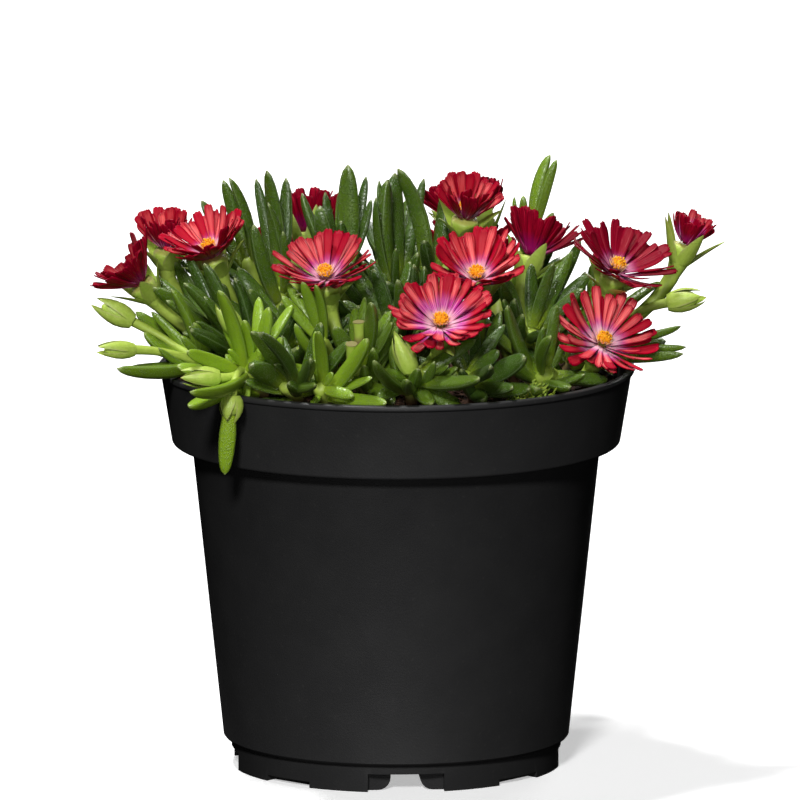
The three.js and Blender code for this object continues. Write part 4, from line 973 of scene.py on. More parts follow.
# Sepals: where each leaves the cup and where it bends, as a radius and a height at the cup's mouth
SEPALS = 5
SEPAL_LENGTH = 0.008
SEPAL_LENGTH_DRAW = (0.85, 1.2)
SEPAL_START = 0.0016
SEPAL_FOOT = (0.0025, -0.0052)
SEPAL_BEND = (0.0037, -0.0018)
SEPAL_LIFT = 0.12
SEPAL_LOOKS_IN = 0.4
SEPAL_TILT = 16
SEPAL_TILT_DRAW = (-3, 5)
SEPAL_FLATTEST = 86
SEPAL_WIDTH = 0.003
FINE_SEPAL_WIDTH = 0.0046
SEPAL_OUTLINE = [(0, 0.8), (0.3, 1), (1, 0.3)]
SEPAL_SECTION = [(0, -0.15), (0.5, -0.1), (1, 0.04), (0.5, 0.01), (0, -0.02)]
SEPAL_SHARES = [0, 0.16, 0.36, 0.56, 0.75, 0.9, 1]
SEPAL_WIDTHS = [0.8, 0.98, 1, 0.84, 0.6, 0.34, 0.06]
# Buds: a closed egg of petals inside four sepals, all as shares of the bud's own length and width
BUD_SHARE = 0.86
BUD_OUTLINE = [(0, 0.4), (0.28, 1), (0.6, 0.72), (1, 0)]
BUD_SHARES = [0, 0.06, 0.16, 0.28, 0.4, 0.52, 0.62, 0.71, 0.78, 0.84]
BUD_WIDTHS = [0.4, 0.66, 0.88, 0.98, 1.0, 0.95, 0.85, 0.69, 0.47, 0.14]
BUD_STALK_SHARE = 0.5
BUD_STALK_MOST = 0.0026
BUD_SUNK = 0.0008
BUD_SEPALS = 4
BUD_SEPAL_FOOT = (0.06, 0.30)
BUD_SEPAL_BEND = (0.5, 0.66)
BUD_SEPAL_TIP = ((0.94, 1.08), (0.14, 0.34))
BUD_SEPAL_WIDTH = 0.74
BUD_SEPAL_THICKNESS = 1.3
# Leaves: the drawn one, and the corners of its section from the keel round to the face
LEAF_LENGTH = 0.030
LEAF_WIDTH = 0.006
LEAF_OUTLINE = [(0, 0.45), (0.45, 1), (0.84, 0.7), (1, 0)]
LEAF_SHARES = [0, 0.06, 0.18, 0.34, 0.5, 0.64, 0.76, 0.86, 0.94, 1]
LEAF_WIDTHS = [0.66, 0.77, 0.91, 1, 1, 0.94, 0.84, 0.7, 0.48, 0.1]
LEAF_SECTION = [(0, -0.47), (0.5, -0.37), (0.9, -0.12), (1, 0.06), (0.72, 0.23), (0, 0.25)]
KEEL = -0.45
EDGE = 0.48
LEAF_ARCH = 0.09
ROOT_OFFSET = 0.0016
ROOT_SUNK = 0.0006
# Millimetres back that a leaf may be moved to find clear space, and the share of its length that it then has
SWINGS = [(0, 1), (3, 1), (-3, 1), (6, 1), (-6, 1), (10, 1), (-10, 1), (14, 1), (-14, 1)]
SWINGS += [(0, 0.85), (6, 0.85), (-6, 0.85), (0, 0.7)]
FINE_WIDTH_SHARE = 0.92
# The leaves that a rule places: pairs up each stem, and small ones that only the scene has
RULE_WIDTH_SHARE = 0.82
LOWEST_PAIR = 0.15
PAIR_LENGTH = (0.022, 0.031)
PAIR_WIDTH = (0.0048, 0.0062)
PAIR_LEAN = 62
PAIR_LEAN_DROP = 34
PAIR_LEAN_DRAW = 8
PAIR_TURN_DRAW = 0.3
SMALL_LEAVES = 20
SMALL_START = (0.15, 1)
SMALL_LEAN = (20, 75)
SMALL_LENGTH = (0.014, 0.027)
SMALL_WIDTH_SHARE = (0.19, 0.25)
FLOWER_MIDDLE = 0.005
FLOWER_REACH = 0.012
FLOWER_FRONT = 0.004
# Each shoot: its foot on the peat, its crown in the photo's frame, the pairs of leaves that the rule adds and
# how young it is. Leaves, buds and cut stubs have their ends in the frame, with the depth behind the pot's
# axis in metres, their width in the frame's pixels, and the share of the stem that they grow from where it
# isn't 1. More leaves are those that only the scene has.
USUAL_SHOOT = dict(young=0, leaves=[], buds=[], cut=[], trailing=[], more=[])
SHOOTS = [
    dict(
        name="shoot_left_rim", foot=(-0.050, -0.012), crown=(197, 360, -0.015), pairs=4, young=0.5,
        leaves=[
            dict(tip=(121, 368, -0.020), wide=15),
            dict(tip=(136, 312, 0.002), wide=15),
            dict(tip=(152, 312, -0.010), wide=11),
        ],
        buds=[
            dict(base=(134, 322, -0.010), tip=(97, 303, -0.012), wide=25),
            dict(base=(137, 350, -0.022), tip=(100, 350, -0.026), wide=19, start=0.8),
        ],
    ),
    dict(
        name="shoot_left_flank", foot=(-0.042, 0.005), crown=(214, 342, -0.002), pairs=5, young=0.15,
        leaves=[
            dict(tip=(152, 276, 0.004), wide=20),
            dict(tip=(154, 288, -0.008), wide=20, start=0.9),
            dict(tip=(167, 301, -0.014), wide=15, start=0.8),
            dict(tip=(175, 262, 0.012), wide=18),
        ],
    ),
    dict(
        name="shoot_left_upright", foot=(-0.037, -0.014), crown=(226, 350, -0.021), pairs=5,
        leaves=[
            dict(tip=(205, 264, -0.020), wide=20, start=0.8),
            dict(tip=(190, 327, -0.026), wide=11, start=0.7),
            dict(tip=(197, 322, -0.022), wide=11, start=0.8),
            dict(tip=(187, 254, -0.006), wide=16),
        ],
    ),
    dict(
        name="shoot_left_star", foot=(-0.036, -0.031), crown=(242, 371, -0.042), pairs=2, young=1,
        leaves=[
            dict(tip=(191, 406, -0.057), wide=21),
            dict(tip=(275, 344, -0.047), wide=16),
            dict(tip=(192, 371, -0.050), wide=13, start=0.9),
            dict(tip=(293, 306, -0.035), wide=12, start=0.8, arch=0.3),
            dict(tip=(243, 325, -0.038), wide=9, start=0.8),
            dict(tip=(230, 350, -0.046), wide=9),
            dict(tip=(247, 404, -0.057), wide=9, start=0.8),
        ],
        buds=[
            dict(base=(222, 378, -0.049), tip=(184, 377, -0.052), wide=22),
            dict(base=(241, 335, -0.036), tip=(219, 304, -0.038), wide=22, start=0.8),
            dict(base=(234, 395, -0.053), tip=(231, 421, -0.055), wide=25),
        ],
        trailing=[dict(root=(231, 412, -0.0545), tip=(226, 474, -0.052), wide=17)],
    ),
    dict(
        name="shoot_front_left", foot=(-0.026, -0.038), crown=(284, 386, -0.046), pairs=4, young=0.1,
        leaves=[
            dict(tip=(252, 366, -0.052), wide=24, start=0.9),
            dict(tip=(314, 377, -0.053), wide=20, start=0.7, arch=0.3),
            dict(tip=(289, 383, -0.054), wide=14, start=0.6),
        ],
    ),
    dict(
        name="shoot_front_star", foot=(-0.019, -0.046), crown=(320, 388, -0.053), pairs=2, young=0.8,
        leaves=[
            dict(tip=(354, 396, -0.058), wide=14),
            dict(tip=(333, 373, -0.055), wide=9),
            dict(tip=(313, 405, -0.060), wide=9, start=0.9),
            dict(tip=(316, 332, -0.050), wide=11, start=0.9),
        ],
    ),
    dict(
        name="shoot_young", foot=(-0.017, -0.024), crown=(321, 340, -0.033), pairs=4, young=0.75,
        leaves=[
            dict(tip=(283, 297, -0.036), wide=13),
            dict(tip=(288, 284, -0.030), wide=13),
            dict(tip=(303, 283, -0.034), wide=14, start=0.9),
            dict(tip=(316, 286, -0.038), wide=12),
        ],
    ),
    dict(
        name="shoot_front_cut", foot=(-0.008, -0.033), crown=(357, 368, -0.040), pairs=3, young=0.35,
        leaves=[
            dict(tip=(335, 328, -0.047), wide=18, start=0.9),
            dict(tip=(391, 312, -0.040), wide=16),
            dict(tip=(364, 366, -0.053), wide=14, start=0.4),
            dict(tip=(365, 298, -0.030), wide=12),
        ],
        cut=[
            dict(root=(352, 366, -0.050), tip=(352, 345, -0.052)),
            dict(root=(360, 346, -0.047), tip=(359, 323, -0.048)),
        ],
    ),
    dict(
        name="shoot_front_middle", foot=(0.004, -0.041), crown=(415, 377, -0.047), pairs=2, young=0.25,
        leaves=[
            dict(tip=(378, 398, -0.054), wide=16, start=0.9),
            dict(tip=(384, 371, -0.056), wide=12),
            dict(tip=(431, 404, -0.058), wide=19, start=0.8),
            dict(tip=(475, 340, -0.042), wide=15),
            dict(tip=(448, 366, -0.052), wide=9, start=0.9),
        ],
        buds=[
            dict(base=(412, 374, -0.050), tip=(395, 335, -0.050), wide=22),
        ],
    ),
    dict(
        name="shoot_front_right", foot=(0.021, -0.032), crown=(464, 376, -0.042), pairs=4,
        leaves=[
            dict(tip=(504, 325, -0.034), wide=14, start=0.9),
            dict(tip=(498, 351, -0.044), wide=16, start=0.9),
            dict(tip=(524, 358, -0.050), wide=25, start=0.6),
            dict(tip=(482, 400, -0.056), wide=18, start=0.5),
        ],
    ),
    dict(
        name="shoot_right_front", foot=(0.038, -0.022), crown=(548, 372, -0.028), pairs=4, young=0.15,
        leaves=[
            dict(tip=(607, 380, -0.034), wide=17, start=0.8),
            dict(tip=(608, 364, -0.022), wide=14, start=0.9),
            dict(tip=(546, 338, -0.038), wide=13, start=0.9),
            dict(tip=(556, 306, -0.022), wide=14),
        ],
    ),
    dict(
        name="shoot_right_flank", foot=(0.046, 0.003), crown=(608, 334, 0.006), pairs=4, young=0.3,
        leaves=[
            dict(tip=(686, 347, 0.002), wide=13, start=0.9),
            dict(tip=(681, 326, 0.008), wide=13),
            dict(tip=(662, 282, 0.012), wide=16),
            dict(tip=(592, 264, 0.012), wide=14, start=0.9),
        ],
        buds=[
            dict(base=(666, 303, 0.004), tip=(704, 297, 0.002), wide=24),
        ],
    ),
    dict(
        name="shoot_right_middle", foot=(0.032, 0.002), crown=(534, 332, -0.008), pairs=5,
        leaves=[
            dict(tip=(531, 264, -0.006), wide=16),
            dict(tip=(553, 264, -0.012), wide=14),
            dict(tip=(572, 252, 0.002), wide=16),
            dict(tip=(503, 300, -0.020), wide=13, start=0.9),
        ],
        more=[
            dict(tip=(581, 241, 0.010), wide=15),
            dict(tip=(568, 262, -0.004), wide=13, start=0.9),
        ],
    ),
    dict(
        name="shoot_right_back", foot=(0.030, 0.032), crown=(541, 222, 0.035), pairs=6, young=0.45,
        leaves=[
            dict(tip=(551, 154, 0.038), wide=19),
            dict(tip=(557, 159, 0.031), wide=13),
            dict(tip=(524, 195, 0.030), wide=13, start=0.85),
            dict(tip=(515, 196, 0.036), wide=9, start=0.8),
            dict(tip=(554, 212, 0.030), wide=9, start=0.9),
        ],
    ),
    dict(
        name="shoot_top_middle", foot=(-0.002, 0.010), crown=(398, 290, 0.008), pairs=5,
        leaves=[
            dict(tip=(388, 180, 0.006), wide=26),
            dict(tip=(395, 173, 0.014), wide=27),
            dict(tip=(379, 180, 0.016), wide=12, start=0.9),
            dict(tip=(376, 198, 0.002), wide=13),
            dict(tip=(396, 249, -0.004), wide=10),
        ],
        more=[
            dict(tip=(424, 178, 0.014), wide=14),
        ],
    ),
    dict(
        name="shoot_top_right", foot=(0.013, 0.014), crown=(430, 272, 0.013), pairs=5,
        leaves=[
            dict(tip=(398, 169, 0.010), wide=21, arch=0.25),
            dict(tip=(443, 194, 0.008), wide=20),
            dict(tip=(424, 241, -0.004), wide=16),
        ],
    ),
    dict(
        name="shoot_top_left_middle", foot=(-0.014, 0.016), crown=(345, 264, 0.015), pairs=5,
        leaves=[
            dict(tip=(348, 165, 0.016), wide=25),
            dict(tip=(342, 188, 0.024), wide=18),
            dict(tip=(366, 176, 0.026), wide=13),
            dict(tip=(341, 221, 0.005), wide=15),
            dict(tip=(320, 206, 0.010), wide=26, start=0.9),
            dict(tip=(302, 193, 0.014), wide=16, start=0.9),
            dict(tip=(325, 192, 0.024), wide=14, start=0.9),
        ],
        more=[
            dict(tip=(371, 199, 0.020), wide=12),
        ],
    ),
    dict(
        name="shoot_top_left", foot=(-0.029, 0.010), crown=(277, 288, 0.005), pairs=4,
        leaves=[
            dict(tip=(286, 178, 0.012), wide=18),
            dict(tip=(267, 171, 0.008), wide=20),
            dict(tip=(268, 203, 0.002), wide=13, start=0.9),
            dict(tip=(254, 225, -0.004), wide=20, start=0.9),
            dict(tip=(283, 232, -0.006), wide=14),
        ],
        more=[
            dict(tip=(256, 179, 0.012), wide=14),
        ],
    ),
    dict(
        name="shoot_left_back", foot=(-0.036, 0.022), crown=(246, 258, 0.018), pairs=4,
        leaves=[
            dict(tip=(223, 180, 0.020), wide=15),
            dict(tip=(229, 178, 0.015), wide=17),
            dict(tip=(201, 200, 0.026), wide=16, start=0.9),
            dict(tip=(147, 213, 0.026), wide=12, start=0.6),
            dict(tip=(138, 228, 0.014), wide=12, start=0.5),
        ],
    ),
    dict(
        name="shoot_middle_left", foot=(-0.027, -0.008), crown=(296, 350, -0.013), pairs=6,
        leaves=[
            dict(tip=(238, 268, -0.002), wide=21),
            dict(tip=(224, 300, -0.014), wide=20, start=0.9),
            dict(tip=(250, 290, -0.018), wide=18),
        ],
    ),
    dict(
        name="shoot_middle", foot=(0.003, -0.012), crown=(388, 330, -0.017), pairs=6,
        leaves=[
            dict(tip=(373, 270, -0.018), wide=18),
            dict(tip=(410, 262, -0.014), wide=18),
            dict(tip=(350, 262, -0.014), wide=18, start=0.9),
        ],
    ),
    dict(
        name="shoot_back_left", foot=(-0.030, 0.040), crown=(250, 268, 0.052), pairs=7,
    ),
    dict(
        name="shoot_back", foot=(0, 0.045), crown=(388, 250, 0.060), pairs=8,
    ),
    dict(
        name="shoot_back_right", foot=(0.028, 0.046), crown=(500, 268, 0.056), pairs=7,
    ),
]
SHOOTS = [USUAL_SHOOT | shoot for shoot in SHOOTS]
# The clump's outline in the photo's frame, which leaves that the rule places stay under
OUTLINE_X = [90, 130, 170, 215, 260, 340, 420, 500, 560, 600, 650, 700]
OUTLINE_Y = [350, 300, 270, 225, 205, 190, 195, 215, 235, 270, 300, 350]


def tapered(name, length, section, shares, widths):
    """A long closed shape on its foot: a section extruded ring by ring, each scaled to its width."""
    deselect_all()
    bpy.ops.mesh.primitive_circle_add(vertices=len(section), radius=1, fill_type="NGON")
    piece = newly_added(name)
    corners = np.array([(x * widths[0], y * widths[0], 0) for x, y in section])
    piece.data.vertices.foreach_set("co", corners.ravel())
    bpy.ops.object.mode_set(mode="EDIT")
    bpy.ops.mesh.select_all(action="SELECT")
    for i in range(1, len(shares)):
        step = (shares[i] - shares[i - 1]) * length
        bpy.ops.mesh.extrude_region_move(TRANSFORM_OT_translate={"value": (0, 0, step)})
        grow = widths[i] / widths[i - 1]
        bpy.ops.transform.resize(value=(grow, grow, 1), center_override=(0, 0, shares[i] * length))
    bpy.ops.object.mode_set(mode="OBJECT")
    point_outwards(piece)
    smooth(piece, 62)
    corners = points_of(piece)
    along = corners[:, 2] / length
    wide = np.interp(along, shares, widths) * max(x for x, _ in section)
    give(piece, "along", along)
    give(piece, "aside", corners[:, 0] / wide)
    piece["length"] = length
    return piece


def ring(sides, radius):
    turns = [i * math.tau / sides for i in range(sides)]
    return [(radius * math.sin(turn), -radius * math.cos(turn)) for turn in turns]


def fluted(section, depth):
    """A section whose every second corner is drawn in."""
    drawn_in = [1 - depth * (i % 2) for i in range(len(section))]
    return [(x * share, y * share) for (x, y), share in zip(section, drawn_in)]


def both_sides(section, width):
    """The right half of a section, from the keel round to the face, mirrored and scaled to a width."""
    whole = section + [(-x, z) for x, z in reversed(section) if x > 0]
    return [(x * width / 2, z * width) for x, z in whole]


def leaf_skin():
    """Leaves: thick glossy skin with glassy beads that carry painted glints, three ridges with a thin pale
    line that is partly painted highlight, and a painted glint at the tip.
    """
    finish = Finish(
        "leaf_skin",
        Specular_IOR_Level=0.7,
        Subsurface_Weight=0.05,
        Subsurface_Radius=(0.0006, 0.0010, 0.0002),
    )
    dark_green = (0.024, 0.060, 0.002)
    mid_green = (0.096, 0.175, 0.008)
    deep_green = (0.042, 0.110, 0.006)
    young_green = (0.270, 0.440, 0.020)
    foot_green = (0.32, 0.44, 0.02)
    streak_green = (0.14, 0.25, 0.05)
    # Pale ridge line: partly the ridges' own colour, partly painted highlight.
    pale_ridge_and_highlight_green = (0.34, 0.46, 0.22)
    # Painted glint on the beads.
    painted_glint_green = (0.40, 0.50, 0.28)
    # Painted glint at the tip.
    painted_tip_glint_green = (0.46, 0.50, 0.22)
    along = finish.own("along")
    young = finish.own("young")
    patches = finish.noise(0.007, 3.0)
    beads = finish.cells(0.00046)
    streaks = finish.noise(0.0013, 3.0, 0.65)
    green = finish.blend(finish.own("tint"), dark_green, mid_green)
    green = finish.blend(finish.rise(patches, 0.35, 0.7) * 0.5, green, deep_green)
    green = finish.blend(young, green, young_green)
    green = finish.blend(finish.rise(along, 0.36, 0.02) * 0.6, green, foot_green)
    green = finish.blend(finish.rise(streaks, 0.5, 0.75) * 0.3, green, streak_green)
    # Pale line on the ridges: partly their own colour, partly painted highlight.
    green = finish.blend(finish.rise(finish.own("ridge"), 0.75, 1.0) * 0.4, green, pale_ridge_and_highlight_green)
    # Painted glints on the beads, weaker on young leaves.
    green = finish.blend(finish.rise(beads, 0.3, 0.1) * (0.45 - 0.3 * young), green, painted_glint_green)
    # Painted glint at the tip.
    green = finish.blend(finish.rise(along, 0.94, 1.0) * 0.45, green, painted_tip_glint_green)
    height = finish.rise(beads, 0.5, 0.05) * (1 - 0.6 * young) + 0.3 * streaks
    normal = finish.bump(height, 0.9, 0.00034)
    return finish.surface(Base_Color=green, Roughness=0.26 + 0.18 * streaks, Normal=normal)


def stem_skin():
    """Stems and stalks: pale green above, pinkish brown near the peat, straw-coloured where they are cut."""
    finish = Finish(
        "stem_skin", Roughness=0.5, Subsurface_Weight=0.1, Subsurface_Radius=(0.0008, 0.0010, 0.0004)
    )
    green = (0.32, 0.46, 0.035)
    pale_green = (0.50, 0.62, 0.12)
    brown = (0.12, 0.065, 0.035)
    pinkish_brown = (0.26, 0.14, 0.08)
    straw = (0.24, 0.21, 0.07)
    streaks = finish.noise(0.0014, 3.0)
    above = finish.blend(streaks, green, pale_green)
    below = finish.blend(streaks, brown, pinkish_brown)
    height = finish.own("along") + finish.own("young")
    colour = finish.blend(finish.rise(height, 0.3, 0.75), below, above)
    colour = finish.blend(finish.own("cut"), colour, straw)
    return finish.surface(Base_Color=colour, Normal=finish.bump(streaks, 0.3, 0.0004))


def calyx_skin():
    """Flower cups, sepals and buds: thin pale yellow-green skin, the sepals' margins clear and pinkish."""
    finish = Finish(
        "calyx_skin",
        Specular_IOR_Level=0.5,
        Subsurface_Weight=0.2,
        Subsurface_Radius=(0.0012, 0.0014, 0.0005),
    )
    yellow_green = (0.34, 0.50, 0.045)
    pale_green = (0.55, 0.68, 0.14)
    margin_pink = (0.76, 0.56, 0.42)
    tip_red = (0.60, 0.30, 0.18)
    along = finish.own("along")
    streaks = finish.noise(0.0011, 3.0)
    beads = finish.cells(0.0004)
    green = finish.blend(streaks, yellow_green, pale_green)
    margin = finish.rise(abs(finish.own("aside")), 0.7, 1.0) * finish.rise(along, 0.1, 0.5)
    green = finish.blend(margin * 0.25, green, margin_pink)
    green = finish.blend(finish.rise(along, 0.92, 1.0) * 0.25, green, tip_red)
    normal = finish.bump(beads + streaks, 0.3, 0.0003)
    return finish.surface(Base_Color=green, Roughness=0.32 + 0.2 * streaks, Normal=normal)


leaf = tapered("leaf", LEAF_LENGTH, both_sides(LEAF_SECTION, LEAF_WIDTH), LEAF_SHARES, LEAF_WIDTHS)
places = points_of(leaf)
wide = np.interp(places[:, 2] / LEAF_LENGTH, LEAF_SHARES, LEAF_WIDTHS) * LEAF_WIDTH
give(leaf, "ridge", (places[:, 1] / wide < KEEL) | (np.abs(places[:, 0]) / wide > EDGE))
stem = tapered("stem", STEM_LENGTH, ring(10, STEM_RADIUS), STEM_SHARES, STEM_WIDTHS)
stalk = tapered("stalk", STALK_LENGTH, ring(8, STALK_RADIUS), STALK_SHARES, STALK_WIDTHS)
bud = tapered("bud", 1.0, fluted(ring(10, 0.5), 0.1), BUD_SHARES, BUD_WIDTHS)
cup = tapered("cup", CALYX_LENGTH, fluted(ring(10, CALYX_RADIUS), 0.08), CUP_SHARES, CUP_WIDTHS)
sepal_section = both_sides(SEPAL_SECTION, FINE_SEPAL_WIDTH)
sepal = tapered("sepal", SEPAL_LENGTH, sepal_section, SEPAL_SHARES, SEPAL_WIDTHS)
leaf_material, stem_material, calyx_material = leaf_skin(), stem_skin(), calyx_skin()
for template, material in ((leaf, leaf_material), (stem, stem_material), (stalk, stem_material)):
    template.data.materials.append(material)
for template in (bud, cup, sepal):
    template.data.materials.append(calyx_material)


class StemPath:
    """A stem's whole path: straight in its hole, then along the curve to the crown."""

    def __init__(self, bottom, curve):
        self.peg = straight(bottom, curve.start)
        self.curve = curve

    def pick(self, share, of):
        share = np.asarray(share, float)
        low = of(self.peg, np.clip(share / STEM_PEG_SHARE, 0, 1))
        high = of(self.curve, np.clip((share - STEM_PEG_SHARE) / (1 - STEM_PEG_SHARE), 0, 1))
        return np.where((share < STEM_PEG_SHARE)[..., None], low, high)

    def at(self, share):
        return self.pick(share, lambda part, own: part.at(own))

    def way(self, share):
        return self.pick(share, lambda part, own: part.way(own))


def grow(shoot, template, curve, face, broad=1, thick=None, **values):
    """Adds a bent copy of a shape to a shoot, as thick as it is broad unless told."""
    values = dict(tint=0.5, young=0) | values
    thick = broad if thick is None else thick
    shoot["copies"].append(along_curve(template, curve, face, broad, thick, **values))


def clear_of_pot(balls):
    points, radii, _ = balls
    reach = np.hypot(points[:, 0], points[:, 1])
    low = points[:, 2] - radii
    inside = (reach + radii < RIM_RADIUS - POT_MARGIN) & (low > PEAT_CLEARANCE)
    return bool(np.all((low > POT_HEIGHT + GAP) | inside | (reach - radii > RIM_RADIUS + GAP)))


def outward_from(stem, place, stem_way):
    outward = unit(place - stem)
    outward = outward - stem_way * (outward @ stem_way)
    return unit(outward) if outward @ outward > 1e-6 else RIGHT


def leaf_face(root, tip, stem_way):
    way = unit(tip - root)
    face = stem_way - way * (stem_way @ way)
    return unit(face) if face @ face > 1e-4 else TOWARD


def anywhere(balls):
    return True


def grow_leaf(shoot, start, tip, width, tint, arch=LEAF_ARCH, allowed=anywhere, shown=FINE_WIDTH_SHARE):
    """Grows one leaf, where it finds clear space. It is shown a share of the solids' width."""
    origin = shoot["curve"].at(start)
    stem_way = shoot["curve"].way(start)
    for back, share in SWINGS:
        end = origin + (tip - TOWARD * back / 1000 - origin) * share
        root = origin + outward_from(origin, end, stem_way) * ROOT_OFFSET
        rise = outward_from(root, end, stem_way) * arch * np.linalg.norm(end - root)
        curve = Bend(root, (root + end) / 2 + rise, end)
        balls = balls_along(curve, LEAF_OUTLINE, width, 0.2, 10)
        if clear_of_pot(balls) and space.clear(shoot["name"], balls) and allowed(balls):
            shown_curve = Bend(root - stem_way * ROOT_SUNK, curve.corner, end)
            broad = width / LEAF_WIDTH * shown
            face = leaf_face(root, end, stem_way)
            grow(shoot, leaf, shown_curve, face, broad, tint=tint, young=shoot["young"])
            space.fill(shoot["name"], balls)
            return


def grow_drawn_leaf(shoot, place, tint):
    """Grows a leaf whose place is given in the photo's frame."""
    width = place["wide"] / PIXELS_PER_METRE
    arch = place.get("arch", LEAF_ARCH)
    grow_leaf(shoot, place.get("start", 1), in_view(place["tip"]), width, tint, arch)


for shoot in SHOOTS:
    x, y = shoot["foot"]
    collar = np.array([x, y, STEM_COLLAR])
    crown = in_view(shoot["crown"])
    above = np.array([x, y, (STEM_COLLAR + crown[2]) / 2])
    shoot["curve"] = Bend(collar, above + (crown - above) * STEM_LEAN, crown)
    shoot["copies"] = []
    path = StemPath(np.array([x, y, STEM_BOTTOM]), shoot["curve"])
    space.fill(shoot["name"], balls_along(path, STEM_OUTLINE, 2 * STEM_RADIUS, 0, 16))
    grow(shoot, stem, path, RIGHT)
by_name = {shoot["name"]: shoot for shoot in SHOOTS}

for index, flower in enumerate(FLOWERS):
    shoot = by_name[flower["on"]]
    stand = flower_frame(flower)
    base, axis, first, _ = stand
    draw = draws(index + 101)
    calyx_places = np.array([base - axis * depth for depth, _ in CALYX_BALLS])
    calyx_radii = np.array([radius for _, radius in CALYX_BALLS])
    space.fill(shoot["name"], (calyx_places, calyx_radii, np.ones(len(CALYX_BALLS))))
    grow(shoot, cup, straight(base - axis * CALYX_LENGTH, base - axis * GAP), first)
    for i in range(SEPALS):
        turn = i * math.tau / SEPALS - math.pi / 2
        under = flower["spread"] + SEPAL_TILT + draw(*SEPAL_TILT_DRAW)
        lean = math.radians(min(under, SEPAL_FLATTEST))
        length = SEPAL_LENGTH * flower["sepals"] * draw(*SEPAL_LENGTH_DRAW)
        reach = CALYX_MOUTH_RADIUS + length * math.sin(lean)
        root = flower_point(stand, turn, CALYX_MOUTH_RADIUS, -SEPAL_START)
        tip = flower_point(stand, turn, reach, length * math.cos(lean) - SEPAL_START)
        space.fill(shoot["name"], balls_along(straight(root, tip), SEPAL_OUTLINE, SEPAL_WIDTH, 0, 5))
        outward = flower_point(stand, turn, 1, 0) - base
        corner = flower_point(stand, turn, *SEPAL_BEND) + (tip - root) * SEPAL_LIFT
        curve = Bend(flower_point(stand, turn, *SEPAL_FOOT), corner, tip)
        grow(shoot, sepal, curve, axis - outward * SEPAL_LOOKS_IN)
    root = shoot["curve"].at(flower["start"])
    end = flower_point(stand, 0, 0, STALK_SUNK - CALYX_LENGTH)
    curve = Bend(root, end - axis * STALK_BEND * np.linalg.norm(end - root), end)
    grow(shoot, stalk, curve, TOWARD, PEDICEL_RADIUS / STALK_RADIUS, young=1)
    space.fill(shoot["name"], balls_along(curve, STALK_OUTLINE, 2 * PEDICEL_RADIUS, 0, 14))

for shoot in SHOOTS:
    for place in shoot["buds"]:
        root = shoot["curve"].at(place.get("start", 1))
        base, tip = in_view(place["base"]), in_view(place["tip"])
        width = place["wide"] / PIXELS_PER_METRE
        stalk_width = min(width * BUD_STALK_SHARE, BUD_STALK_MOST)
        long = tip - base
        way = unit(long)
        corner = base - way * 0.5 * np.linalg.norm(base - root)
        curve = Bend(root, corner, base + way * BUD_SUNK)
        body = straight(base, tip)
        space.fill(shoot["name"], balls_along(curve, STALK_OUTLINE, stalk_width, 0, 10))
        space.fill(shoot["name"], balls_along(body, BUD_OUTLINE, width, 0, 8))
        width = width * BUD_SHARE
        grow(shoot, stalk, curve, TOWARD, stalk_width / 2 / STALK_RADIUS * BUD_SHARE, young=1)
        grow(shoot, bud, body, TOWARD, width, young=1)
        tooth = draws(int(place["wide"] * 10 + place["base"][0]))
        first = unit(np.cross(way, TOWARD))
        second = np.cross(way, first)
        start = tooth(0, math.tau)
        for i in range(BUD_SEPALS):
            turn = start + i * math.tau / BUD_SEPALS
            outward = first * math.cos(turn) + second * math.sin(turn)
            end = (tooth(*BUD_SEPAL_TIP[0]), tooth(*BUD_SEPAL_TIP[1]))
            places = (BUD_SEPAL_FOOT, BUD_SEPAL_BEND, end)
            points = [base + long * up + outward * width * out for up, out in places]
            broad = width * BUD_SEPAL_WIDTH / FINE_SEPAL_WIDTH
            grow(shoot, sepal, Bend(*points), -outward, broad, broad * BUD_SEPAL_THICKNESS, young=1)

tint_draw = draws(77)
for shoot in SHOOTS:
    for place in shoot["leaves"]:
        grow_drawn_leaf(shoot, place, tint_draw(0, 1))
    for stub in shoot["cut"]:
        line = straight(in_view(stub["root"]), in_view(stub["tip"]))
        low, high = (line.end + line.way(1.0) * end for end in PITH)
        broad = CUT_STEM_RADIUS / STALK_RADIUS
        grow(shoot, stalk, line, RIGHT, broad, young=0.2)
        grow(shoot, stalk, straight(low, high), RIGHT, broad, cut=1.0)
    for place in shoot["trailing"]:
        broad = place["wide"] / PIXELS_PER_METRE / LEAF_WIDTH
        grow(shoot, leaf, straight(in_view(place["root"]), in_view(place["tip"])), TOWARD, broad, young=1)

stands = [flower_frame(flower) for flower in FLOWERS]


def hides_nothing(balls):
    """Leaves placed by rule stay under the clump's outline and don't stand in front of a flower."""
    points, radii, _ = balls
    x = AXIS_X + PIXELS_PER_METRE * points[:, 0]
    up = points @ UP
    y = GROUND_Y - PIXELS_PER_METRE * up
    if np.any(y - radii * PIXELS_PER_METRE < np.interp(x, OUTLINE_X, OUTLINE_Y)):
        return False
    for stand in stands:
        middle = flower_point(stand, 0, 0, FLOWER_MIDDLE)
        ahead = points @ TOWARD > middle @ TOWARD - FLOWER_FRONT
        away = np.hypot(points[:, 0] - middle[0], up - middle @ UP)
        if np.any(ahead & (away <= FLOWER_REACH + radii)):
            return False
    return True


def grow_by_rule(shoot, share, turn, degrees, length, width, shown):
    """Grows a leaf from a share of the stem, leaning from it by some degrees and turned about it."""
    stem_way = shoot["curve"].way(share)
    first = unit(np.cross(stem_way, RIGHT))
    second = np.cross(stem_way, first)
    lean = math.radians(degrees)
    way = stem_way * math.cos(lean)
    way = way + (first * math.cos(turn) + second * math.sin(turn)) * math.sin(lean)
    tip = shoot["curve"].at(share) + way * length
    grow_leaf(shoot, share, tip, width, tint_draw(0, 1), allowed=hides_nothing, shown=shown)


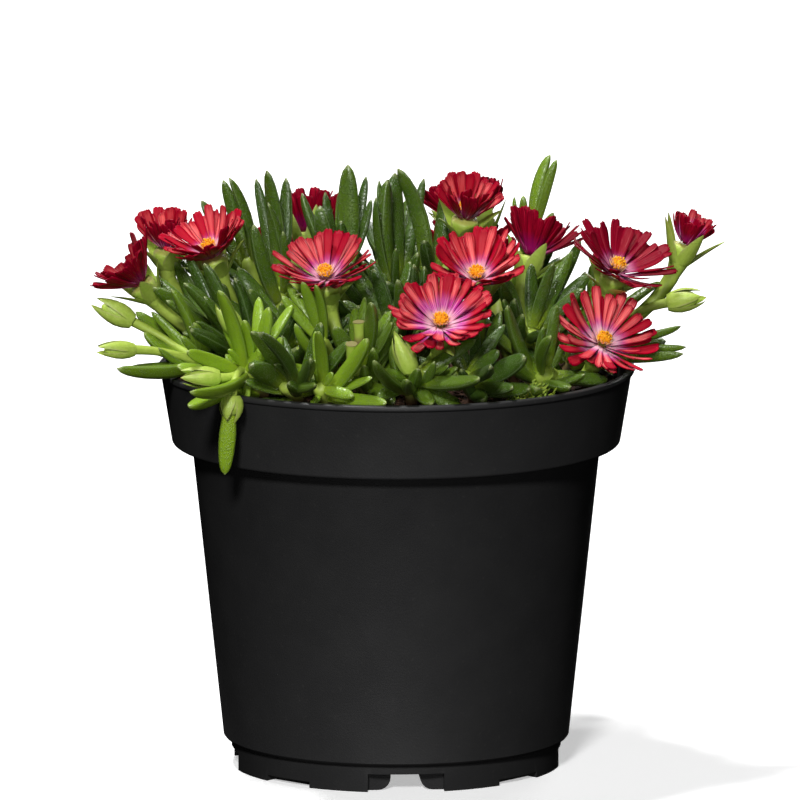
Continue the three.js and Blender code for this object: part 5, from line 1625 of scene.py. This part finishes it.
for index, shoot in enumerate(SHOOTS):
    draw = draws(index + 201)
    start = draw(0, math.pi)
    for pair in range(shoot["pairs"]):
        share = LOWEST_PAIR + (1 - LOWEST_PAIR) * (pair + 1) / shoot["pairs"]
        for side in range(2):
            turn = start + pair * math.pi / 2 + side * math.pi + draw(-PAIR_TURN_DRAW, PAIR_TURN_DRAW)
            degrees = PAIR_LEAN - PAIR_LEAN_DROP * share + draw(-PAIR_LEAN_DRAW, PAIR_LEAN_DRAW)
            length = draw(*PAIR_LENGTH)
            grow_by_rule(shoot, share, turn, degrees, length, draw(*PAIR_WIDTH), RULE_WIDTH_SHARE)

for index, shoot in enumerate(SHOOTS):
    for place in shoot["more"]:
        grow_drawn_leaf(shoot, place, 0.3)
    draw = draws(index + 601)
    for _ in range(SMALL_LEAVES):
        share = draw(*SMALL_START)
        turn = draw(0, math.tau)
        degrees = draw(*SMALL_LEAN)
        length = draw(*SMALL_LENGTH)
        width = length * draw(*SMALL_WIDTH_SHARE)
        grow_by_rule(shoot, share, turn, degrees, length, width, FINE_WIDTH_SHARE)

for shoot in SHOOTS:
    fine = joined(shoot["name"].replace("shoot_", "") + "_leafy_shoot", shoot["copies"])
    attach(fine, "root")
    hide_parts(shoot["name"])
for template in (leaf, stem, stalk, bud, cup, sepal):
    bpy.data.objects.remove(template)


# Moss: bright yellow-green cushions that have seeded on the peat, and taller leafy stems of it by the pot's
# wall. Each patch is x, y, reach and how tall it is.
MOSS_PATCHES = [
    (0.0275, -0.004, 0.0045, 1.0),
    (0.0385, -0.002, 0.0040, 1.0),
    (0.0385, -0.0410, 0.0040, 3.6),
    (0.0325, -0.0455, 0.0028, 2.7),
]
MOSS_SHOOTS = 70
MOSS_HEIGHT = (0.0013, 0.0026)
MOSS_RADIUS = 0.00042
MOSS_LEAN = 0.3
MOSS_SUNK = 0.0004
MOSS_LEAFLETS = 9
MOSS_LEAFLET_LENGTH = (0.0008, 0.0013)
MOSS_LEAFLET_WIDTH = 0.8
MOSS_LEAFLET_TURN = 2.4
MOSS_LEAFLET_RISE = 0.8


def moss():
    """Moss: yellow-green, dark at its foot."""
    finish = Finish("moss", Roughness=0.7, Subsurface_Weight=0.1)
    green = (0.16, 0.26, 0.012)
    yellow_green = (0.36, 0.46, 0.03)
    dark_green = (0.05, 0.08, 0.01)
    colour = finish.blend(finish.own("tint"), green, yellow_green)
    colour = finish.blend(finish.rise(finish.own("along"), 0.7, 0.0) * 0.7, colour, dark_green)
    return finish.surface(Base_Color=colour)


tuft = tapered("moss_shoot", 0.0022, ring(5, MOSS_RADIUS), [0, 0.3, 0.7, 1], [0.6, 1, 0.7, 0.1])
draw = draws(55)
copies = []
for x, y, reach, tall in MOSS_PATCHES:
    for i in range(MOSS_SHOOTS):
        away = reach * math.sqrt(draw(0, 1))
        turn = draw(0, math.tau)
        place = (x + away * math.cos(turn), y + away * math.sin(turn))
        height = draw(*MOSS_HEIGHT) * (1.15 - 0.6 * away / reach) * tall
        root = np.array([*place, soil_height(*place) - MOSS_SUNK])
        lean = (draw(-MOSS_LEAN, MOSS_LEAN) * height, draw(-MOSS_LEAN, MOSS_LEAN) * height)
        rise = np.array([*lean, height + 2 * MOSS_SUNK])
        tint = draw(0, 1)
        copies.append(along_curve(tuft, straight(root, root + rise), RIGHT, 1, 1, tint=tint))
        for leaflet in range(MOSS_LEAFLETS if tall > 1 else 0):
            start = root + rise * (leaflet + 2) / (MOSS_LEAFLETS + 2)
            turn = MOSS_LEAFLET_TURN * leaflet + draw(0, 1)
            out = np.array([math.cos(turn), math.sin(turn), MOSS_LEAFLET_RISE]) * draw(*MOSS_LEAFLET_LENGTH)
            wide = MOSS_LEAFLET_WIDTH
            copies.append(along_curve(tuft, straight(start, start + out), TOWARD, wide, wide, tint=tint))
bpy.data.objects.remove(tuft)
cushions = joined("moss_cushions", copies)
wear(cushions, moss())


# Studio: a plain pale floor that glows a little, soft light from four sides and a long lens at the height
# that the photo was taken from. Each light has the way to it, its strength and the degrees that it fills.
FLOOR_RADIUS = 30
FLOOR_GLOW = 0.45
LIGHTS = {
    "key_light": ((-0.12, -0.85, 0.5), 2.2, 9),
    "fill_light": ((0.02, -1, 0.02), 0.95, 24),
    "top_light": ((-0.25, 0.1, 0.94), 3.0, 8),
    "back_light": ((0.3, 0.9, 0.35), 0.7, 20),
}
CAMERA_DISTANCE = 6.0
CAMERA_SIGHT = 100
FRAME_PIXELS = 800
FRAME_WIDTH = FRAME_PIXELS / PIXELS_PER_METRE
SENSOR = 36.0

deselect_all()
bpy.ops.mesh.primitive_circle_add(vertices=64, radius=FLOOR_RADIUS, fill_type="NGON", location=(0, 0, 0))
floor = newly_added("studio_floor")
floor_finish = Finish("studio_floor", Roughness=0.9, Specular_IOR_Level=0.1, Emission_Strength=FLOOR_GLOW)
floor.data.materials.append(floor_finish.surface(Base_Color=(0.93, 0.93, 0.93), Emission_Color=(1, 1, 1)))
floor.visible_glossy = False
floor.visible_diffuse = False

for name, (way, strength, spread) in LIGHTS.items():
    light = bpy.data.lights.new(name, "SUN")
    light.energy = strength
    light.angle = math.radians(spread)
    lamp = bpy.data.objects.new(name, light)
    lamp.rotation_euler = Vector(way).to_track_quat("Z", "Y").to_euler()
    bpy.context.collection.objects.link(lamp)
world = bpy.data.worlds.new("studio")
world.use_nodes = True
world.node_tree.nodes["Background"].inputs["Strength"].default_value = 0
bpy.context.scene.world = world

camera = bpy.data.objects.new("camera", bpy.data.cameras.new("camera"))
bpy.context.collection.objects.link(camera)
middle = in_view((FRAME_PIXELS / 2, FRAME_PIXELS / 2, 0))
camera.location = Vector(middle + TOWARD * CAMERA_DISTANCE)
camera.rotation_euler = Vector(-TOWARD).to_track_quat("-Z", "Y").to_euler()
camera.data.sensor_width = SENSOR
camera.data.lens = SENSOR * CAMERA_DISTANCE / FRAME_WIDTH
camera.data.clip_end = CAMERA_SIGHT
bpy.context.scene.camera = camera
bpy.context.scene.view_settings.view_transform = "Standard"
